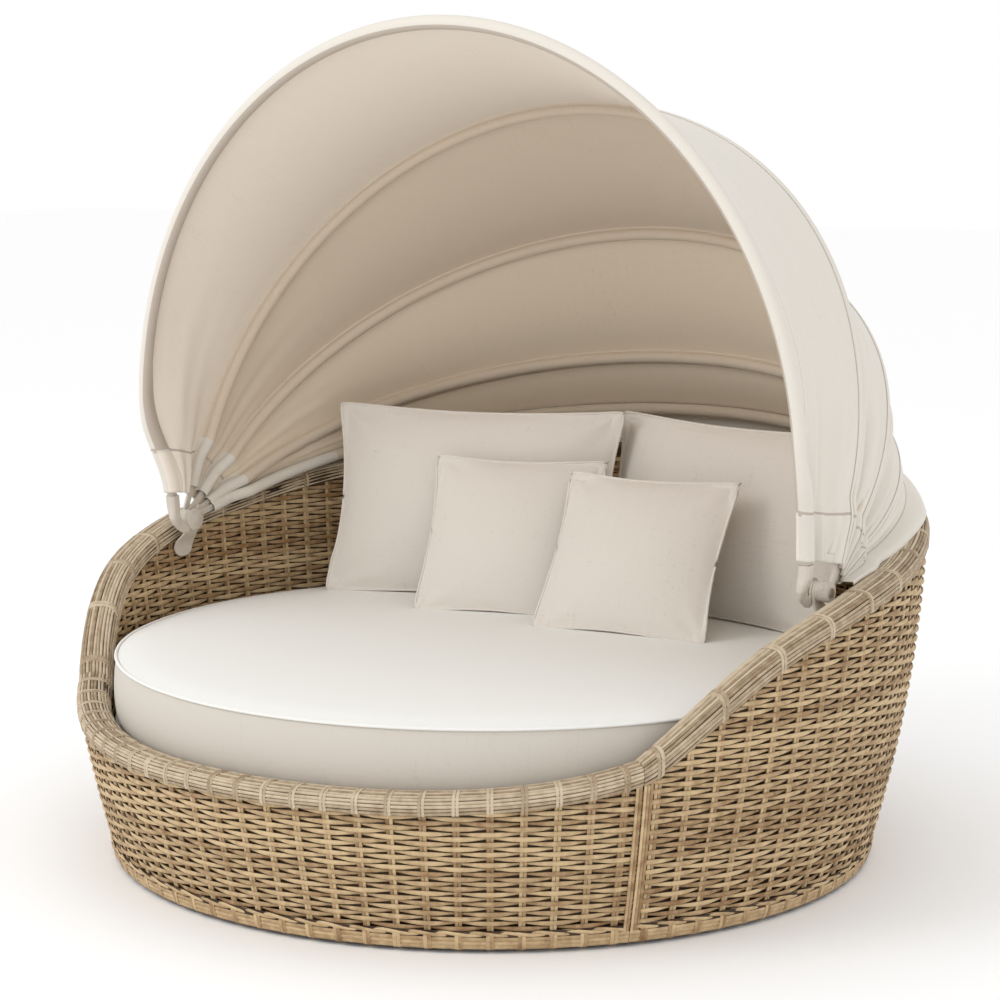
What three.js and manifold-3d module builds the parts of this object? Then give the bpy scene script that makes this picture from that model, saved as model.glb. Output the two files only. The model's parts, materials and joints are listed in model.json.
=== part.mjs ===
// A round outdoor daybed: a woven tub on a welded aluminium frame, a mattress with four pillows,
// and a folding canopy whose five bows turn on one axis across the arms.
// Millimetres, +Z up. The origin is on the floor at the middle of the tub, and the open front faces -Y.
import * as THREE from "three";
import { mergeVertices } from "three/addons/utils/BufferGeometryUtils.js";
import Module from "manifold-3d";

const wasm = await Module();
wasm.setup();

// Tub: the outer face flares from the foot to the rim
const footRadius = 792;
const wallFlare = 112;
const backRimHeight = 765;
const frontRimHeight = 308;
const seamRimHeight = 360;
const wallThickness = 58;
const weaveThickness = 8;
const seamTurn = THREE.MathUtils.degToRad(53.8);
const seamGap = 1;
const seatGap = 0.3;
const rimSeat = 0.9;

// How far the arm has risen from the seam to the back, at equal steps of angle
const armRiseShares = [0, 0.425, 0.63, 0.74, 0.85, 0.915, 0.957, 0.985, 1];
const frontRisePower = 4;

// Wrapped rim and foot band
const rimHeight = 36;
const rimOverhang = 4;
const rimShoulder = 5;
const bandTop = 45;
const bandBottom = 10;
const bandOverhang = 3;
const bandLip = 5;

// Frame of rectangular tube inside the wall
const frameSlack = 1.5;
const railHeight = 25;
const postWidth = 25;
const seatRailTop = 260;
const ledgeTop = 258;
const ledgeThickness = 5;
const ledgeReach = 35;

// Deck under the mattress
const slatCount = 7;
const slatWidth = 100;
const slatThickness = 20;
const slatSpan = 1280;
const spineWidth = 40;
const spineDepth = 25;
const lugThickness = 5;
const lugLength = 28;
const glideRadius = 20;
const glideEdge = 3;

// Bolts that join the front section to the rear one
const joinerRadius = 4;
const joinerHeadRadius = 6.5;
const joinerHeadHeight = 5;
const joinerHeights = [110, 200];

// Mattress and pillows
const mattressRadius = 783;
const mattressShift = -12;
const mattressHeight = 146;
const mattressCrown = 17;
const pipingRadius = 4;
const backPillow = { width: 680, height: 450, thickness: 145 };
const scatterPillow = { width: 400, height: 370, thickness: 115 };
const pillowSides = 10;

// Canopy pivot, and the stack of eyes on it from the inside outwards
const pivotBack = -50;
const pivotHeight = 624.6;
const stackInner = 792;
const eyeThickness = 6;
const eyeRadius = 20;
const pinRadius = 6;
const boltHeadRadius = 9;
const boltHeadHeight = 3;
const capHeight = 10;
const capSteps = [{ radius: 26, depth: 3 }, { radius: 18, depth: 2 }, { radius: 9, depth: 1.5 }];

// Bows of round tube: the half width and the reach of each, and the angle from level at the back
const tubeRadius = 11;
const armWidth = 14;
const armFlatLength = 138;
const armLength = 200;
const spigotRadius = 8.2;
const spigotLength = 30;
const boreSlack = 1.1;
const socketWall = 2;
const frontBow = {
  name: "front_bow",
  halfWidth: 825,
  reach: 1091,
  angle: 92.1,
  springing: 241,
  endWidth: 806,
};
const frontTubeStart = 62;
const frontOffset = 110;
const crankOffset = 55;
const crankRamp = 240;
const foldingBows = [
  { name: "second_bow", halfWidth: 812, reach: 1005, angle: 66.1 },
  { name: "third_bow", halfWidth: 803, reach: 962, angle: 41.5 },
  { name: "fourth_bow", halfWidth: 795, reach: 918, angle: 22 },
  { name: "hem_bow", halfWidth: 788, reach: 950, angle: 13 },
];

// Brackets that carry the pivots on the inner face of the wall
const bracketSetback = 0.75;
const bracketWidth = 60;
const bracketNeck = 38;
const bracketDrop = 88;

// Cover
const coverThickness = 3;
const coverSlack = 3.6;
const coverEnd = 58;
const coverJoint = 0.8;
const coverSagShare = 0.055;
const foldDepth = 7;
const foldFadeShare = 0.4;
const foldCount = 2;
const coverInset = 8;
const skirtReach = 25;
const skirtLift = 4;
const skirtSpreadTurn = THREE.MathUtils.degToRad(45);

const overrun = 2;

const colours = {
  aluminium: 0xcfc6ba,
  frame: 0x5b4833,
  weave: 0xcbb48d,
  fabric: 0xe3ded6,
  cushion: 0xdad2c7,
  mattress: 0xefeeea,
  rubber: 0x2f2d2a,
  wood: 0x9b7c56,
};

// Booleans and closed bodies

function facedOutward(geometry) {
  const p = geometry.getAttribute("position");
  const index = geometry.index.array;
  const [a, b, c] = [new THREE.Vector3(), new THREE.Vector3(), new THREE.Vector3()];
  let volume = 0;
  for (let i = 0; i < index.length; i += 3) {
    a.fromBufferAttribute(p, index[i]);
    b.fromBufferAttribute(p, index[i + 1]);
    c.fromBufferAttribute(p, index[i + 2]);
    volume += a.dot(b.cross(c));
  }
  if (volume < 0) {
    for (let i = 0; i < index.length; i += 3) [index[i + 1], index[i + 2]] = [index[i + 2], index[i + 1]];
  }
  return geometry;
}

function closed(geometry) {
  geometry.deleteAttribute("normal");
  geometry.deleteAttribute("uv");
  return facedOutward(mergeVertices(geometry));
}

function solidOf(geometry) {
  const body = closed(geometry.clone());
  const vertProperties = new Float32Array(body.getAttribute("position").array);
  const triVerts = new Uint32Array(body.index.array);
  return new wasm.Manifold(new wasm.Mesh({ numProp: 3, vertProperties, triVerts }));
}

function geometryOf(solid) {
  const mesh = solid.getMesh();
  const geometry = new THREE.BufferGeometry();
  geometry.setAttribute("position", new THREE.BufferAttribute(mesh.vertProperties, 3));
  geometry.setIndex(new THREE.BufferAttribute(mesh.triVerts, 1));
  return geometry;
}

function join(geometries) {
  return geometryOf(geometries.map(solidOf).reduce((whole, piece) => whole.add(piece)));
}

function cut(geometry, tools) {
  return geometryOf(tools.map(solidOf).reduce((whole, tool) => whole.subtract(tool), solidOf(geometry)));
}

function common(geometry, other) {
  return geometryOf(solidOf(geometry).intersect(solidOf(other)));
}

// A body through closed rings of points. Each ring runs out along one side and back along the other,
// so point i faces the point that is as far from the ring's end.
function loft(rings) {
  const count = rings[0].length;
  const position = rings.flat().flatMap((p) => [p.x, p.y, p.z]);
  const index = [];
  const quad = (a, b, c, d) => index.push(a, b, c, a, c, d);
  for (let r = 0; r + 1 < rings.length; r++) {
    for (let i = 0; i < count; i++) {
      const next = (i + 1) % count;
      quad(r * count + i, r * count + next, (r + 1) * count + next, (r + 1) * count + i);
    }
  }
  const last = (rings.length - 1) * count;
  for (let i = 0; i + 1 < count / 2; i++) {
    const facing = count - 1 - i;
    quad(i, facing, facing - 1, i + 1);
    quad(last + i, last + i + 1, last + facing - 1, last + facing);
  }
  const geometry = new THREE.BufferGeometry();
  geometry.setAttribute("position", new THREE.Float32BufferAttribute(position, 3));
  geometry.setIndex(index);
  return closed(geometry);
}

function material(colour, roughness, metalness = 0) {
  return new THREE.MeshStandardMaterial({ color: colour, roughness, metalness });
}

const daybed = new THREE.Group();

function add(name, geometry, look) {
  const mesh = new THREE.Mesh(geometry, look);
  mesh.name = name;
  daybed.add(mesh);
  return mesh;
}

const mix = THREE.MathUtils.lerp;
const smooth = (share) => THREE.MathUtils.smoothstep(share, 0, 1);

// Shape of the tub

function wallRadius(height) {
  return footRadius + wallFlare * (1 - (1 - height / backRimHeight) ** 2);
}

// A turn is the angle from the front, positive to the right.
function around(radius, turn, height) {
  return new THREE.Vector3(radius * Math.sin(turn), -radius * Math.cos(turn), height);
}

function onWall(inset, turn, height) {
  return around(wallRadius(height) - inset, turn, height);
}

function smoothTable(shares, place) {
  const i = Math.min(Math.floor(place), shares.length - 2);
  const t = place - i;
  const [b, c] = [shares[i], shares[i + 1]];
  const a = i > 0 ? shares[i - 1] : 2 * b - c;
  const d = i + 2 < shares.length ? shares[i + 2] : b;
  return b + 0.5 * t * (c - a + t * (2 * a - 5 * b + 4 * c - d + t * (3 * (b - c) + d - a)));
}

function rimTop(turn) {
  const away = Math.abs(Math.atan2(Math.sin(turn), Math.cos(turn)));
  if (away <= seamTurn) {
    return mix(frontRimHeight, seamRimHeight, (away / seamTurn) ** frontRisePower);
  }
  const place = ((away - seamTurn) / (Math.PI - seamTurn)) * (armRiseShares.length - 1);
  return mix(seamRimHeight, backRimHeight, smoothTable(armRiseShares, place));
}

// The wrapped rim keeps its depth square to its slope, so it stands taller where it climbs.
function rimUnder(section, turn) {
  const step = 0.01;
  const low = Math.max(section.from, turn - step);
  const high = Math.min(section.to, turn + step);
  const slope = (rimTop(high) - rimTop(low)) / ((high - low) * wallRadius(rimTop(turn)));
  return rimTop(turn) - rimHeight * Math.hypot(1, slope);
}

// Each section of the tub has its own stations, closer together near the seam where the arm climbs.
const gapTurn = seamGap / 2 / footRadius;
const sectionStart = seamTurn + gapTurn;
const sectionEnd = seamTurn - gapTurn;
const rearSection = { from: sectionStart, to: 2 * Math.PI - sectionStart, steps: 32, crowding: 0.35 };
const frontSection = { from: -sectionEnd, to: sectionEnd, steps: 14, crowding: 0 };

function stations({ from, to, steps, crowding }) {
  return Array.from({ length: steps + 1 }, (_, i) => {
    const share = i / steps;
    return mix(from, to, share - (crowding * Math.sin(2 * Math.PI * share)) / (2 * Math.PI));
  });
}

// A piece of the wall that follows it round: its outline gives insets and heights at a turn.
function alongWall(section, outline) {
  return loft(
    stations(section).map((turn) => outline(turn).map(([inset, height]) => onWall(inset, turn, height))),
  );
}

const widestStep = ((rearSection.to - rearSection.from) / rearSection.steps) * (1 + rearSection.crowding);
const facetShare = Math.cos(widestStep / 2);
const rimFoot = (section, turn) => rimUnder(section, turn) - rimSeat;
const weaveLevels = 4;

function weave(section, outerInset, lowest) {
  const levels = Array.from({ length: weaveLevels }, (_, i) => i / (weaveLevels - 1));
  return alongWall(section, (turn) => {
    const heights = levels.map((share) => mix(lowest, rimFoot(section, turn), share));
    const out = heights.map((height) => [outerInset, height]);
    const back = heights.reverse().map((height) => [outerInset + weaveThickness, height]);
    return [...out, ...back];
  });
}

function rim(section) {
  const inner = wallThickness + rimOverhang;
  return alongWall(section, (turn) => {
    const top = rimTop(turn);
    const under = rimUnder(section, turn);
    const middle = (top + under) / 2;
    return [
      [-rimShoulder + rimOverhang / 2, under],
      [-rimOverhang, middle],
      [rimShoulder / 2, top - rimShoulder],
      [wallThickness * 0.3, top],
      [wallThickness * 0.7, top],
      [wallThickness - rimShoulder / 2, top - rimShoulder],
      [inner, middle],
      [inner - rimOverhang / 2, under],
    ];
  });
}

// The foot band wraps the bottom rail: a face outside it and a lip under it.
function footBand(section) {
  const lipEnd = wallThickness - weaveThickness;
  return alongWall(section, () => [
    [-bandOverhang, bandTop],
    [-bandOverhang, bandBottom],
    [lipEnd, bandBottom],
    [lipEnd, bandBottom + bandLip],
    [weaveThickness, bandBottom + bandLip],
    [weaveThickness, bandTop],
  ]);
}

// Welded frames

const railOuter = weaveThickness + frameSlack;
const railInner = wallThickness - weaveThickness - 2 * seatGap;
const bottomRailFoot = bandBottom + bandLip + seatGap;
const railTop = (section, turn) => rimFoot(section, turn) - frameSlack;

function rail(section, footAt, height, outer = railOuter, inner = railInner) {
  return alongWall(section, (turn) => [
    [outer, footAt(turn)],
    [outer, footAt(turn) + height],
    [inner, footAt(turn) + height],
    [inner, footAt(turn)],
  ]);
}

const uprightLevels = 5;

// An upright stands between the bottom rail and the top rail and leans with the wall.
function upright(section, from, to) {
  const foot = bottomRailFoot + railHeight / 2;
  const head = Math.min(railTop(section, from), railTop(section, to)) - railHeight / 2;
  const inset = railOuter + 2 * frameSlack;
  const rings = Array.from({ length: uprightLevels }, (_, i) => {
    const height = mix(foot, head, i / (uprightLevels - 1));
    return [
      onWall(inset, from, height),
      onWall(inset, to, height),
      onWall(railInner - frameSlack, to, height),
      onWall(railInner - frameSlack, from, height),
    ];
  });
  return loft(rings);
}

function joinerHoles(radius, length) {
  return [-1, 1].flatMap((side) =>
    joinerHeights.map((height) => {
      const hole = new THREE.CylinderGeometry(radius, radius, length, 8);
      hole.rotateZ(Math.PI / 2);
      hole.rotateZ(side * seamTurn);
      const place = onWall(wallThickness / 2, side * seamTurn, height);
      return hole.translate(place.x, place.y, place.z);
    }),
  );
}

function frame(section, uprightTurns) {
  const postTurn = postWidth / wallRadius(seatRailTop);
  const endPosts = [upright(section, section.from, section.from + postTurn)];
  endPosts.push(upright(section, section.to - postTurn, section.to));
  const between = uprightTurns.map((turn) => upright(section, turn - postTurn / 2, turn + postTurn / 2));
  const topRail = rail(section, (turn) => railTop(section, turn) - railHeight, railHeight);
  const seatRail = rail(section, () => seatRailTop - railHeight, railHeight);
  const bottomRail = rail(section, () => bottomRailFoot, railHeight);
  const ledgeInner = railInner + ledgeReach;
  const ledge = rail(section, () => ledgeTop - ledgeThickness, ledgeThickness, wallThickness / 2, ledgeInner);
  const welded = join([bottomRail, seatRail, topRail, ledge, ...endPosts, ...between]);
  return cut(welded, joinerHoles(joinerRadius + seatGap, 2 * postWidth + 2 * joinerHeadRadius));
}

function frameTurns(section, count) {
  const all = stations(section);
  return Array.from({ length: count }, (_, i) => all[Math.round(((i + 1) * section.steps) / (count + 1))]);
}

function joinerBolt() {
  const reach = postWidth + seamGap + seatGap;
  const profile = [
    [0, -reach - joinerHeadHeight],
    [joinerHeadRadius, -reach - joinerHeadHeight],
    [joinerHeadRadius, -reach],
    [joinerRadius, -reach],
    [joinerRadius, reach],
    [joinerHeadRadius, reach],
    [joinerHeadRadius, reach + joinerHeadHeight],
    [0, reach + joinerHeadHeight],
  ];
  return closed(new THREE.LatheGeometry(profile.map(([x, y]) => new THREE.Vector2(x, y)), 8));
}

const weaveLook = material(colours.weave, 0.75);
const frameLook = material(colours.frame, 0.5, 0.6);
const hardwareLook = material(colours.aluminium, 0.45, 0.5);

function addTub() {
  const sections = { rear: rearSection, front: frontSection };
  for (const [name, section] of Object.entries(sections)) {
    const inset = wallThickness - weaveThickness;
    add(name + "_weave_outer", weave(section, 0, bandTop + seatGap), weaveLook);
    add(name + "_weave_inner", weave(section, inset, ledgeTop + seatGap), weaveLook);
    add(name + "_rim", rim(section), weaveLook);
    add(name + "_foot_band", footBand(section), weaveLook);
  }
  add("rear_frame", frame(rearSection, frameTurns(rearSection, 7)), frameLook);
  add("front_frame", frame(frontSection, frameTurns(frontSection, 3)), frameLook);
  [-1, 1].forEach((side, s) => {
    joinerHeights.forEach((height, h) => {
      const bolt = add(`joiner_bolt_${2 * s + h + 1}`, joinerBolt(), hardwareLook);
      bolt.position.copy(onWall(wallThickness / 2, side * seamTurn, height));
      bolt.rotation.z = Math.PI / 2 + side * seamTurn;
    });
  });
}

// Deck, spine, leg and glides

const deckFoot = ledgeTop + seatGap;
const deckTop = deckFoot + slatThickness;

const deckRadius = (wallRadius(ledgeTop) - wallThickness) * facetShare - 2 * seatGap;

function drum(radius, low, high, sides = 48) {
  const geometry = new THREE.CylinderGeometry(radius, radius, high - low, sides);
  return geometry.rotateX(Math.PI / 2).translate(0, 0, (low + high) / 2);
}

function box(width, depth, low, high) {
  return new THREE.BoxGeometry(width, depth, high - low).translate(0, 0, (low + high) / 2);
}

function slat(place) {
  const board = box(2 * deckRadius, slatWidth, deckFoot, deckTop).translate(0, place, 0);
  return common(board, drum(deckRadius, deckFoot - overrun, deckTop + overrun));
}

function spine() {
  const ledgeInner = (wallRadius(ledgeTop) - railInner - ledgeReach) * facetShare - seatGap;
  const beam = box(spineWidth, 2 * ledgeInner, ledgeTop - spineDepth, ledgeTop);
  const trimmed = common(beam, drum(ledgeInner, ledgeTop - spineDepth - overrun, ledgeTop + overrun));
  const lugTop = ledgeTop - ledgeThickness - seatGap;
  const lug = box(spineWidth, 2 * (ledgeInner + lugLength), lugTop - lugThickness, lugTop);
  const leg = box(spineWidth, spineWidth, bandBottom, ledgeTop - spineDepth / 2);
  return join([trimmed, lug, leg]);
}

function glide() {
  const top = bandBottom - seatGap;
  const profile = [
    [0, 0],
    [glideRadius - glideEdge, 0],
    [glideRadius, glideEdge],
    [glideRadius, top],
    [0, top],
  ];
  const geometry = new THREE.LatheGeometry(profile.map(([x, y]) => new THREE.Vector2(x, y)), 12);
  return closed(geometry.rotateX(Math.PI / 2));
}

function addDeck() {
  const timber = material(colours.wood, 0.7);
  const pitch = slatSpan / (slatCount - 1);
  for (let i = 0; i < slatCount; i++) add(`deck_slat_${i + 1}`, slat(i * pitch - slatSpan / 2), timber);
  add("deck_spine", spine(), frameLook);
  const rubber = material(colours.rubber, 0.8);
  const glideTurns = [0.15, 0.5, 0.85].flatMap((share) => [-share * Math.PI, share * Math.PI]);
  const ring = (railOuter + railInner) / 2;
  const places = [new THREE.Vector3(), ...glideTurns.map((turn) => around(footRadius - ring, turn, 0))];
  places.forEach((place, i) => add(`glide_${i + 1}`, glide(), rubber).position.copy(place));
}

// Mattress and pillows

const mattressFoot = deckTop + seatGap;
const mattressEdge = mattressFoot + mattressHeight;

const mattressDrawn = mattressRadius - pipingRadius;
const crownShares = [0.93, 0.8, 0.55, 0.25, 0];

// Height of the mattress at a distance from its middle
function mattressTop(distance) {
  return mattressEdge + pipingRadius / 2 + mattressCrown * (1 - (distance / mattressDrawn) ** 3);
}

function mattress() {
  const middle = (mattressFoot + mattressEdge) / 2;
  const waist = mattressRadius - pipingRadius / 2;
  const bead = (height) => [
    [mattressDrawn, height - pipingRadius],
    [mattressRadius, height],
    [mattressDrawn, height + pipingRadius],
  ];
  const profile = [
    [0, mattressFoot],
    [mattressDrawn * 0.96, mattressFoot],
    ...bead(mattressFoot + 2 * pipingRadius),
    [waist, middle],
    ...bead(mattressEdge),
    ...crownShares.map((share) => [mattressDrawn * share, mattressTop(mattressDrawn * share)]),
  ];
  const geometry = new THREE.LatheGeometry(profile.map(([x, y]) => new THREE.Vector2(x, y)), 36);
  return closed(geometry.rotateX(Math.PI / 2));
}

// A pillow lies in its own X and Z plane with its lower edge on the origin: the sides are drawn in
// between the corners, and both faces swell towards the middle.
function pillow({ width, height, thickness }) {
  const drawShare = 0.035;
  const swell = (u, v) => ((1 - u * u) * (1 - v * v)) ** 0.55;
  const place = (i, j, face) => {
    const u = -Math.cos((i / pillowSides) * Math.PI);
    const v = -Math.cos((j / pillowSides) * Math.PI);
    const x = (u * width * (1 - drawShare * (1 - v * v))) / 2;
    const z = (v * height * (1 - drawShare * (1 - u * u))) / 2 + height / 2;
    return [x, (face * thickness * swell(u, v)) / 2, z];
  };
  const row = pillowSides + 1;
  const position = [];
  const index = [];
  for (const face of [-1, 1]) {
    const start = position.length / 3;
    for (let i = 0; i < row; i++) for (let j = 0; j < row; j++) position.push(...place(i, j, face));
    for (let i = 0; i < pillowSides; i++) {
      for (let j = 0; j < pillowSides; j++) {
        const corners = [start + i * row + j, start + (i + 1) * row + j];
        corners.push(corners[1] + 1, corners[0] + 1);
        if (face > 0) corners.reverse();
        index.push(corners[0], corners[1], corners[2], corners[0], corners[2], corners[3]);
      }
    }
  }
  const geometry = new THREE.BufferGeometry();
  geometry.setAttribute("position", new THREE.Float32BufferAttribute(position, 3));
  geometry.setIndex(index);
  return closed(geometry);
}

// Where each pillow stands on the mattress, the way it faces and how far it leans back
const pillowPlaces = [
  { name: "back_pillow_left", size: backPillow, right: -295, back: 310, facing: 17, lean: 14 },
  { name: "back_pillow_right", size: backPillow, right: 285, back: 395, facing: -9, lean: 16 },
  { name: "scatter_pillow_left", size: scatterPillow, right: -104, back: 170, facing: 18, lean: 28 },
  { name: "scatter_pillow_right", size: scatterPillow, right: 232, back: 118, facing: 8, lean: 32 },
];

// How far a placed pillow hangs above the mattress at its lowest place
function heightOverMattress(mesh) {
  mesh.updateWorldMatrix(true, false);
  const p = mesh.geometry.getAttribute("position");
  const point = new THREE.Vector3();
  let least = Infinity;
  for (let i = 0; i < p.count; i++) {
    point.fromBufferAttribute(p, i).applyMatrix4(mesh.matrixWorld);
    least = Math.min(least, point.z - mattressTop(Math.hypot(point.x, point.y - mattressShift)));
  }
  return least;
}

function addCushions() {
  add("mattress", mattress(), material(colours.mattress, 0.9)).position.y = mattressShift;
  const look = material(colours.cushion, 0.9);
  for (const { name, size, right, back, facing, lean } of pillowPlaces) {
    const holder = new THREE.Group();
    holder.position.set(right, back, mattressEdge);
    holder.rotation.set(THREE.MathUtils.degToRad(-lean), 0, THREE.MathUtils.degToRad(facing), "ZXY");
    const mesh = add(name, pillow(size), look);
    holder.add(mesh);
    holder.position.z += seatGap - heightOverMattress(mesh);
    daybed.add(holder);
  }
}

// Bows

const stackPitch = eyeThickness + seatGap;
const slotMiddle = (slot) => stackInner + slot * stackPitch + eyeThickness / 2;
const eyeSlots = { front_bow: 0, bracket: 1, hem_bow: 2, fourth_bow: 3, third_bow: 4, second_bow: 5 };
const eyeCount = Object.keys(eyeSlots).length;

// A bow is half an ellipse on two near-straight legs. Its plane turns about the pivot axis, and the
// front bow's plane is cranked forward of the axis.
class BowLine extends THREE.Curve {
  constructor(bow, start) {
    super();
    this.halfWidth = bow.halfWidth;
    this.springing = bow.springing ?? armLength;
    this.rise = bow.reach - this.springing;
    this.endWidth = bow.endWidth ?? slotMiddle(eyeSlots[bow.name]);
    this.angle = THREE.MathUtils.degToRad(bow.angle);
    this.start = start;
    this.cranked = bow === frontBow;
    this.legStart = this.cranked ? frontTubeStart : armFlatLength;
    const quarter = (Math.PI / 2) * Math.hypot(this.halfWidth, this.rise) * Math.SQRT1_2;
    const leg = this.springing - start;
    this.legShare = leg / (leg + quarter);
  }

  offsetAt(reach) {
    return this.cranked ? mix(crankOffset, frontOffset, smooth((reach - frontTubeStart) / crankRamp)) : 0;
  }

  getPoint(t, target = new THREE.Vector3()) {
    const side = t < 0.5 ? 1 : -1;
    const fromTop = Math.abs(1 - 2 * t);
    if (fromTop > 1 - this.legShare) {
      const reach = mix(this.start, this.springing, (1 - fromTop) / this.legShare);
      return this.placed(side * this.legWidth(reach), reach, target);
    }
    const turn = (Math.PI / 2) * (1 - fromTop / (1 - this.legShare));
    const reach = this.springing + this.rise * Math.sin(turn);
    return this.placed(side * this.halfWidth * Math.cos(turn), reach, target);
  }

  legWidth(reach) {
    const share = (reach - this.legStart) / (this.springing - this.legStart);
    return mix(this.endWidth, this.halfWidth, smooth(share));
  }

  placed(across, reach, target) {
    const offset = this.offsetAt(reach);
    const [c, s] = [Math.cos(this.angle), Math.sin(this.angle)];
    return target.set(across, pivotBack + reach * c - offset * s, pivotHeight + reach * s + offset * c);
  }

  forward() {
    return new THREE.Vector3(0, -Math.sin(this.angle), Math.cos(this.angle));
  }

  outward(u) {
    return this.getTangentAt(u).cross(this.forward()).normalize();
  }
}

function tubeAlong(curve, steps) {
  const circle = new THREE.Shape().absarc(0, 0, tubeRadius, 0, 2 * Math.PI);
  const options = { steps, curveSegments: 4, bevelEnabled: false, extrudePath: curve };
  return new THREE.ExtrudeGeometry(circle, options);
}

// A rounded section across an arm: eight points that a width and a depth stretch.
function eightSided(width, depth, cornerShare) {
  const [w, d] = [width / 2, depth / 2];
  const [wi, di] = [w * cornerShare, d * cornerShare];
  return [[w, -di], [w, di], [wi, d], [-wi, d], [-w, di], [-w, -di], [-wi, -d], [wi, -d]];
}

// Pieces on the pivot are drawn with X outwards, Y forward and Z along the bow, for the right side.
function eye(slot, radius = eyeRadius) {
  const disc = new THREE.CylinderGeometry(radius, radius, eyeThickness, 16).rotateZ(Math.PI / 2);
  return disc.translate(slotMiddle(slot), 0, 0);
}

function pinHole() {
  const radius = pinRadius + seatGap;
  const length = stackPitch * (eyeCount + 2);
  const hole = new THREE.CylinderGeometry(radius, radius, length, 12).rotateZ(Math.PI / 2);
  return hole.translate(slotMiddle((eyeCount - 1) / 2), 0, 0);
}

function spigot(across, forward, from, radius) {
  const rod = new THREE.CylinderGeometry(radius, radius, spigotLength, 8).rotateX(Math.PI / 2);
  return rod.translate(across, forward, from + spigotLength / 2);
}

function armRing(across, along, width, depth, cornerShare) {
  return eightSided(depth, width, cornerShare).map(([x, y]) => new THREE.Vector3(across + x, y, along));
}

// The end of a folding bow: an eye, a flat arm in its own slot, and a neck that turns round to the tube.
function bowEnd(bow) {
  const slot = eyeSlots[bow.name];
  const across = slotMiddle(slot);
  const leg = loft([
    armRing(across, eyeRadius / 2, armWidth, eyeThickness, 0.8),
    armRing(across, armFlatLength, armWidth, eyeThickness, 0.8),
    armRing(bow.halfWidth, armLength - seatGap, 2 * tubeRadius, 2 * tubeRadius, Math.SQRT2 - 1),
  ]);
  const peg = spigot(bow.halfWidth, 0, armLength - overrun - seatGap, spigotRadius);
  return cut(join([eye(slot), leg, peg]), [pinHole()]);
}

// The front bow's knuckle: the eye runs forward and down as a flat hook, then rises and swells outwards
// to the socket of the tube, which stands well forward of the pivot.
function frontKnuckle() {
  const slot = eyeSlots.front_bow;
  const inner = slotMiddle(slot);
  const tubeAcross = frontBow.endWidth;
  const socket = 2 * (tubeRadius + socketWall);
  const flat = eyeThickness;
  const hook = [
    { outShare: 0, forwardShare: 0, along: -eyeRadius * 0.2, width: eyeRadius, depth: flat },
    { outShare: 0, forwardShare: 0.42, along: -eyeRadius * 0.9, width: eyeRadius * 1.1, depth: flat },
    { outShare: 0, forwardShare: 0.85, along: -eyeRadius * 0.35, width: eyeRadius * 1.2, depth: flat },
    { outShare: 0.3, forwardShare: 1.05, along: eyeRadius * 0.6, width: socket, depth: socket * 0.7 },
    { outShare: 0.8, forwardShare: 1, along: eyeRadius * 1.7, width: socket, depth: socket },
    { outShare: 1, forwardShare: 1, along: frontTubeStart - seatGap, width: socket, depth: socket },
  ];
  const points = hook.map(({ outShare, forwardShare, along }) => {
    return new THREE.Vector3(mix(inner, tubeAcross, outShare), forwardShare * crankOffset, along);
  });
  const curve = new THREE.CatmullRomCurve3(points, false, "centripetal");
  const steps = 10;
  const rings = Array.from({ length: steps + 1 }, (_, i) => {
    const t = i / steps;
    const middle = curve.getPoint(t);
    const place = t * (hook.length - 1);
    const k = Math.min(Math.floor(place), hook.length - 2);
    const width = mix(hook[k].width, hook[k + 1].width, place - k);
    const depth = mix(hook[k].depth, hook[k + 1].depth, place - k);
    const ahead = curve.getTangent(t).setX(0).normalize();
    const section = eightSided(depth, width, 0.6);
    return section.map(([x, w]) => middle.clone().add(new THREE.Vector3(x, w * ahead.z, -w * ahead.y)));
  });
  const start = frontTubeStart - overrun - seatGap;
  const peg = spigot(tubeAcross, crankOffset, start, spigotRadius);
  return cut(join([eye(slot, eyeRadius * 1.05), loft(rings), peg]), [pinHole()]);
}

// Turns a piece of the right side into its place at an angle, and mirrors it for the left.
function atPivot(geometry, angle, side) {
  const placed = geometry.clone().scale(side, -1, 1);
  placed.rotateX(THREE.MathUtils.degToRad(angle - 90));
  return facedOutward(placed.translate(0, pivotBack, pivotHeight));
}

const sides = { right: 1, left: -1 };

function bored(bow, tube, start, offset) {
  const bore = spigot(bow.endWidth ?? bow.halfWidth, offset, start - overrun, spigotRadius + boreSlack);
  return cut(tube, [1, -1].map((side) => atPivot(bore, bow.angle, side)));
}

function addBows() {
  const frontTube = tubeAlong(new BowLine(frontBow, frontTubeStart), 26);
  add(frontBow.name, bored(frontBow, frontTube, frontTubeStart, crankOffset), hardwareLook);
  for (const bow of foldingBows) {
    const tube = tubeAlong(new BowLine(bow, armLength), 22);
    add(bow.name, bored(bow, tube, armLength, 0), hardwareLook);
  }
  for (const [name, side] of Object.entries(sides)) {
    add("front_knuckle_" + name, atPivot(frontKnuckle(), frontBow.angle, side), hardwareLook);
    for (const bow of foldingBows) {
      add(bow.name + "_end_" + name, atPivot(bowEnd(bow), bow.angle, side), hardwareLook);
    }
  }
}

// Pivot bolt, cap and bracket

function turned(profile) {
  const geometry = new THREE.LatheGeometry(profile.map(([r, x]) => new THREE.Vector2(r, x)), 14);
  return closed(geometry.rotateZ(-Math.PI / 2));
}

function pivotBolt() {
  const outer = stackInner + eyeCount * stackPitch;
  const tip = stackInner - capHeight / 2;
  return turned([
    [0, tip],
    [pinRadius, tip],
    [pinRadius, outer],
    [boltHeadRadius, outer],
    [boltHeadRadius, outer + boltHeadHeight],
    [0, outer + boltHeadHeight],
  ]);
}

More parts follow.
